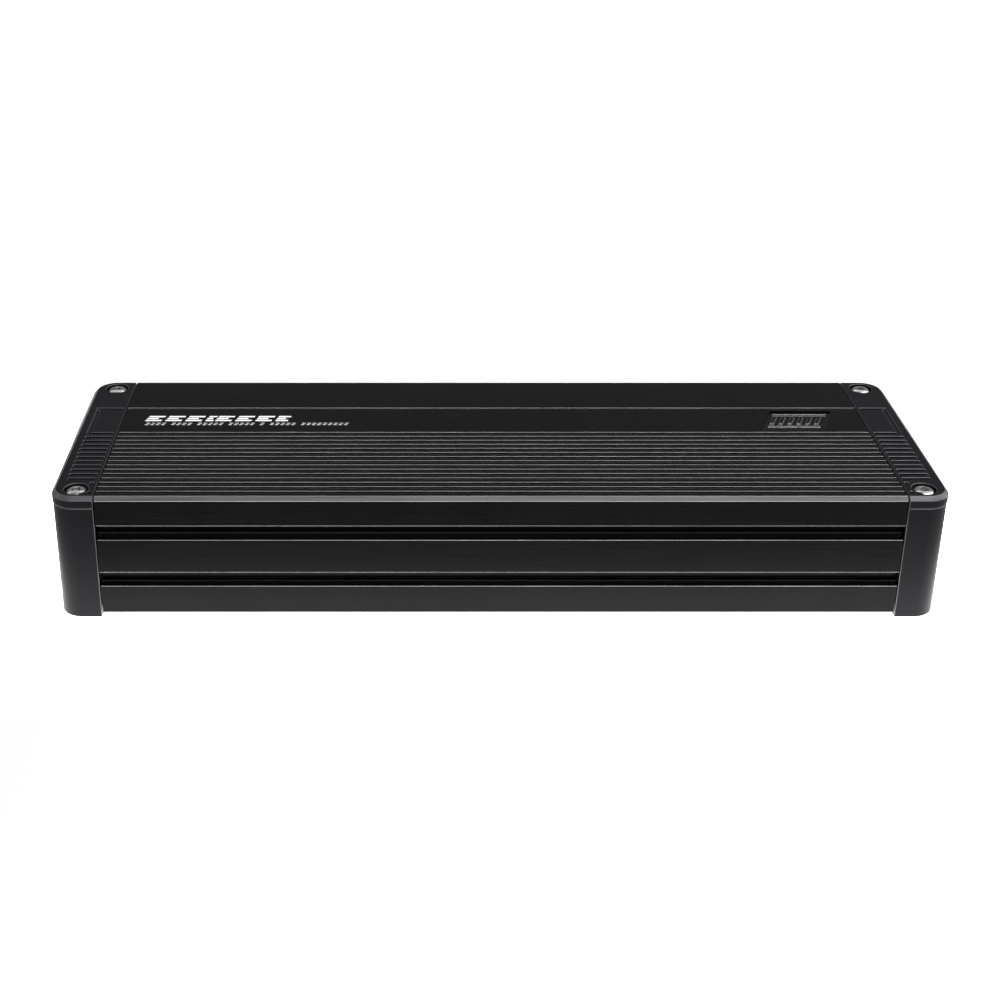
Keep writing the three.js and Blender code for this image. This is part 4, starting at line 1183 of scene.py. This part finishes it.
def turned(outline, middle, angle):
    """The outline turned about its middle and carried there."""
    c, s = math.cos(angle), math.sin(angle)
    return [(middle[0] + u * c - v * s, middle[1] + u * s + v * c) for u, v in outline]


def dial(spot):
    """Ticks round a knob, longer at its two limits and in the middle."""
    marks = []
    half = TICKS // 2
    for tick in range(-half, half + 1):
        angle = math.pi / 2 + KNOB_SWEEP * tick / half
        reach = LONG_TICK if tick in (-half, 0, half) else SHORT_TICK
        away = KNOB_RADIUS + KNOB_CLEARANCE + 0.35 + reach / 2
        middle = (spot[0] + away * math.cos(angle), spot[1] + away * math.sin(angle))
        marks.append(turned(around((0, 0), reach, TICK_WIDTH), middle, angle))
    return marks


def plus_minus(spot, positive, size=1.7):
    """A minus sign, or a plus sign whose upright is in two parts, clear of the bar."""
    marks = [around(spot, size, STROKE)]
    if positive:
        x, z = spot
        for side in SIDES:
            v0, v1 = sorted((side * 0.19, side * size / 2))
            marks.append(rectangle(x - STROKE / 2, x + STROKE / 2, z + v0, z + v1))
    return marks


def frame_line(u0, u1, v0, v1):
    """Four thin bars round a group of controls, a hair apart at the corners."""
    inset = LINE + 0.02
    return [
        rectangle(u0, u1, v0, v0 + LINE),
        rectangle(u0, u1, v1 - LINE, v1),
        rectangle(u0, u0 + LINE, v0 + inset, v1 - inset),
        rectangle(u1 - LINE, u1, v0 + inset, v1 - inset),
    ]


def signal_panel():
    openings = [window("input_jack_block"), round_window("power_light")]
    marks = []
    for channels in CHANNELS:
        for job in ("gain", "crossover"):
            spot = centre_mm(f"{job}_knob_{channels}").yz
            openings.append(circle(KNOB_RADIUS + KNOB_CLEARANCE, spot))
            marks += dial(spot)
        low, high, middle = box_mm("filter_slider_" + channels)
        width = high.y - low.y + 2 * (SLIDER_TRAVEL + KNOB_CLEARANCE)
        height = high.z - low.z + 2 * KNOB_CLEARANCE
        openings.append(rounded(around(middle.yz, width, height), 0.4, 4))
        for step in (-1, 0, 1):
            spot = (middle.y + step * SLIDER_TRAVEL, middle.z + height / 2 + 0.9)
            marks.append(around(spot, 0.3, 0.9))
    panel("signal_panel", openings)
    first = centre_mm("gain_knob_rear_channels")
    last = centre_mm("filter_slider_front_channels")
    for z in (first.z, last.z):
        marks += frame_line(first.y - 6.2, last.y + 6.2, z - 5.6, z + 6.0)
    light = centre_mm("power_light")
    marks.append(around((light.y, light.z + 3.2), 2.6, 0.35))
    jacks_top = box_mm("input_jack_block")[1].z
    for number in (3, 4):
        y = centre_mm(f"input_jack_sleeve_{number}").y
        marks.append(around((y, jacks_top + 1.8), 5.0, 0.4))
    printed("signal_panel_print", marks, signal_low.x, -1)


def power_panel():
    nodes = ("power_terminal_block", "speaker_terminal_block", "fuse_holder")
    panel("power_panel", [window(node) for node in nodes])
    marks = []
    low, high, _ = box_mm("power_terminal_block")
    for pole in POLES:
        spot = (centre_mm("power_terminal_screw_" + pole).y, high.z + 2.0)
        if pole == "remote":
            marks.append(circle(0.55, spot, 20))
        else:
            marks += plus_minus(spot, pole == "battery")
    marks.append(rectangle(low.y + 1, high.y - 1, high.z + 3.6, high.z + 3.6 + LINE))
    low, high, _ = box_mm("speaker_terminal_block")
    for column, y in enumerate(speaker_columns()[1]):
        marks += plus_minus((y, high.z + 1.8), column % 2 == 0, 1.5)
        marks += plus_minus((y, low.z - 1.8), column % 2 == 0, 1.5)
    low, high, _ = box_mm("fuse_holder")
    marks.append(rectangle(low.y + 2, high.y - 2, high.z + 1.4, high.z + 1.4 + LINE))
    printed("power_panel_print", marks, panel_high.x, 1)


signal_panel()
power_panel()


# --- Bottom plate and what is inside ---

PLATE_RIBS = ((-36, -30), (-3, 3), (30, 36))  # the two edges of each, in Y
PLATE_RIB_INSET = 30
WINDING_TURNS = 30
STEPS_PER_TURN = 6
WINDING_WIDTH = 7.0  # of the ring's section
WIRE = 0.35  # how far a turn bulges


def bottom_plate():
    low, high, _ = box_mm("bottom_plate")
    outline = rounded(rectangle(low.x, high.x, low.y, high.y), 1.5, 4)
    solid = prism("bottom_plate", outline, "z", low.z, high.z)
    tools = []
    for corner in CORNERS:
        spot = centre_mm("plate_screw_" + corner).xy
        tools.append(rod("z", spot, low.z - 1, high.z + 1, PLATE_SCREW_HOLE))
    for y0, y1 in PLATE_RIBS:
        rib = rounded(rectangle(low.x + PLATE_RIB_INSET, high.x - PLATE_RIB_INSET, y0, y1), 2.8, 6)
        tools.append(prism("rib", rib, "z", low.z - 1, low.z + 0.5))
    combine(solid, tools)
    finished(solid, "bottom_plate_steel", "bottom_plate", ["bottom_plate"], edge=0.3)


def inner(node, edge):
    """A piece with the outline of a node and rounded edges."""
    solid = linked(node + "_copy", frame["nodes"][node].data.copy())
    solid.data.transform(Matrix.Scale(1 / MM, 4))
    finished(combine(solid, []), node + "_body", slots[node], [node], edge=edge)


def winding(node):
    """A toroid wound with round wire: each turn bulges out from the ring."""
    low, high, middle = box_mm(node)
    across = (high.x - low.x) / 2 - WINDING_WIDTH / 2
    rings = []
    for i in range(WINDING_TURNS * STEPS_PER_TURN):
        angle = 2 * math.pi * i / (WINDING_TURNS * STEPS_PER_TURN)
        bulge = WIRE * abs(math.sin(WINDING_TURNS * angle / 2)) - WIRE
        section = around((across, middle.z), WINDING_WIDTH + 2 * bulge, high.z - low.z + 2 * bulge)
        c, s = math.cos(angle), math.sin(angle)
        rings.append([(middle.x + p.x * c, middle.y + p.x * s, p.y) for p in rounded(section, 1.75, 5)])
    finished(skin("winding", rings, ring_closed=True), node + "_wire", "windings", [node])


def capacitor(node):
    low, high, middle = box_mm(node)
    radius = (high.x - low.x) / 2
    profile = [
        (0, low.z), (radius - 0.4, low.z), (radius, low.z + 0.4), (radius, low.z + 1.3),
        (radius - 0.5, low.z + 1.9), (radius - 0.5, low.z + 2.3), (radius, low.z + 2.9),
        (radius, high.z - 0.9), (radius - 0.25, high.z - 0.25), (radius - 0.9, high.z),
        (radius - 1.3, high.z - 0.25), (0, high.z - 0.25),
    ]
    vents = []
    for angle in (0, math.pi / 2):
        line = turned(around((0, 0), 2 * radius - 4.5, 0.4), middle.xy, angle)
        vents.append(prism("vent", line, "z", high.z - 0.5, high.z + 1))
    solid = combine(lathe("capacitor", "z", middle.xy, profile), vents)
    finished(solid, node + "_can", "capacitor_sleeves", [node])


bottom_plate()
for corner in CORNERS:
    inner("power_transistor_" + corner, 0.2)
for channels in CHANNELS:
    inner("filter_switch_" + channels, 0.25)
    inner("gain_pot_" + channels, 0.35)
    inner("crossover_pot_" + channels, 0.35)
for node in ("clamp_bar_front", "clamp_bar_rear", "transformer_core", "transformer_coil", "circuit_board"):
    inner(node, 0.3)
for number in (1, 2):
    winding(f"output_coil_{number}")
for number in (1, 2, 3):
    capacitor(f"supply_capacitor_{number}")


# --- Camera, floor and lights ---

CAMERA_PLACE = (-0.0355, -0.6225, 0.3456)
CAMERA_PITCH = math.radians(23.955)
LENS = 58.754
SHIFT = (0.0901, -0.0975)
FLOOR_HALF = 1.7
FLOOR_DROP = 0.0002  # below the part's lowest point
FLOOR_SHADE = 0.58
FLOOR_GLOW = 5.5  # painted light: brightness added to the floor close to the object, a pool of light round it
GLOW_REACH = 0.075
FAR_REACH = (0.7, 1.5)  # the distances at which the far glow starts and is full
FAR_GLOW = 0.9
HORIZON = 1.1  # brightness of the surroundings near the horizon
ZENITH = 0.25  # and overhead
SKY_HEIGHTS = (0.03, 0.2)  # where the one starts to turn into the other, and where it ends
LIGHTS = (  # name, place, the point it looks at, size, brightness
    ("overhead", (0.4, -0.45, 1.1), (0, -0.05, 0.03), (1.7, 0.6), 8.0),
    ("front", (0.2, -1.7, 0.5), (0, 0, 0.03), (1.8, 0.35), 4.0),
    ("right", (1.3, 0.15, 0.55), (0.15, 0, 0.03), (0.9, 0.7), 5.0),
    ("left", (-1.3, 0.1, 0.6), (-0.15, 0, 0.03), (0.8, 0.6), 2.0),
    ("backdrop", (0, 0.9, 1.3), (0, 2.2, 0), (3.0, 0.6), 12.0),
)


def camera():
    data = bpy.data.cameras.new("camera")
    data.lens = LENS
    data.sensor_width = 36.0
    data.shift_x, data.shift_y = SHIFT
    data.clip_start = 0.01
    made = linked("camera", data)
    made.location = CAMERA_PLACE
    made.rotation_euler = (math.pi / 2 - CAMERA_PITCH, 0, 0)
    scene.camera = made


def vector_math(tree, operation, *values, output=0):
    return add_node(tree, "ShaderNodeVectorMath", dict(enumerate(values)), output, operation=operation)


def floor():
    low = CAD_BOX[0][2] - FLOOR_DROP
    mesh = bpy.data.meshes.new("floor")
    corners = [(x, y, low) for x, y in rectangle(-FLOOR_HALF, FLOOR_HALF, -FLOOR_HALF, FLOOR_HALF)]
    mesh.from_pydata(corners, [], [(0, 1, 2, 3)])
    made = linked("floor", mesh)
    look = bpy.data.materials.new("floor")
    look.use_nodes = True
    tree = look.node_tree
    sockets = tree.nodes["Principled BSDF"].inputs
    sockets["Base Color"].default_value = (FLOOR_SHADE, FLOOR_SHADE, FLOOR_SHADE, 1)
    sockets["Roughness"].default_value = 0.9
    sockets["Specular IOR Level"].default_value = 0.1
    sockets["Emission Color"].default_value = (1, 1, 1, 1)
    places = add_node(tree, "ShaderNodeTexCoord", {}, "Object")
    half_size = (*CAD_BOX[1][:2], 0)
    outside = vector_math(tree, "SUBTRACT", vector_math(tree, "ABSOLUTE", places), half_size)
    clear = vector_math(tree, "MAXIMUM", outside, (0, 0, 0))
    away = vector_math(tree, "LENGTH", clear, output="Value")
    near_glow = map_range(tree, away, (0, GLOW_REACH), (FLOOR_GLOW, 0), "SMOOTHERSTEP")
    far_glow = map_range(tree, away, FAR_REACH, (0, FAR_GLOW), "SMOOTHSTEP")
    both = add_node(tree, "ShaderNodeMath", {0: near_glow, 1: far_glow}, operation="ADD")
    tree.links.new(both, sockets["Emission Strength"])
    mesh.materials.append(look)


def world():
    made = bpy.data.worlds.new("studio")
    made.use_nodes = True
    tree = made.node_tree
    background = tree.nodes["Background"].inputs
    background["Color"].default_value = (0.94, 0.95, 1.0, 1)
    direction = add_node(tree, "ShaderNodeTexCoord", {}, "Generated")
    height = add_node(tree, "ShaderNodeSeparateXYZ", {0: direction}, "Z")
    strength = map_range(tree, height, SKY_HEIGHTS, (HORIZON, ZENITH))
    tree.links.new(strength, background["Strength"])
    scene.world = made


def soft_box(name, spot, aim, size, radiance):
    """An area light of this brightness that looks at a point."""
    data = bpy.data.lights.new(name, "AREA")
    data.shape = "RECTANGLE"
    data.size, data.size_y = size
    data.energy = radiance * math.pi * size[0] * size[1]
    made = linked(name, data)
    made.location = spot
    toward = Vector(aim) - Vector(spot)
    made.rotation_euler = toward.to_track_quat("-Z", "Y").to_euler()


camera()
floor()
world()
for light in LIGHTS:
    soft_box(*light)
scene.view_settings.view_transform = "Standard"


# --- Remaining nodes get their finish ---

for node, solid in frame["nodes"].items():
    if not solid.hide_render:
        for material_slot in solid.material_slots:
            material_slot.material = LOOKS[slots[node]]
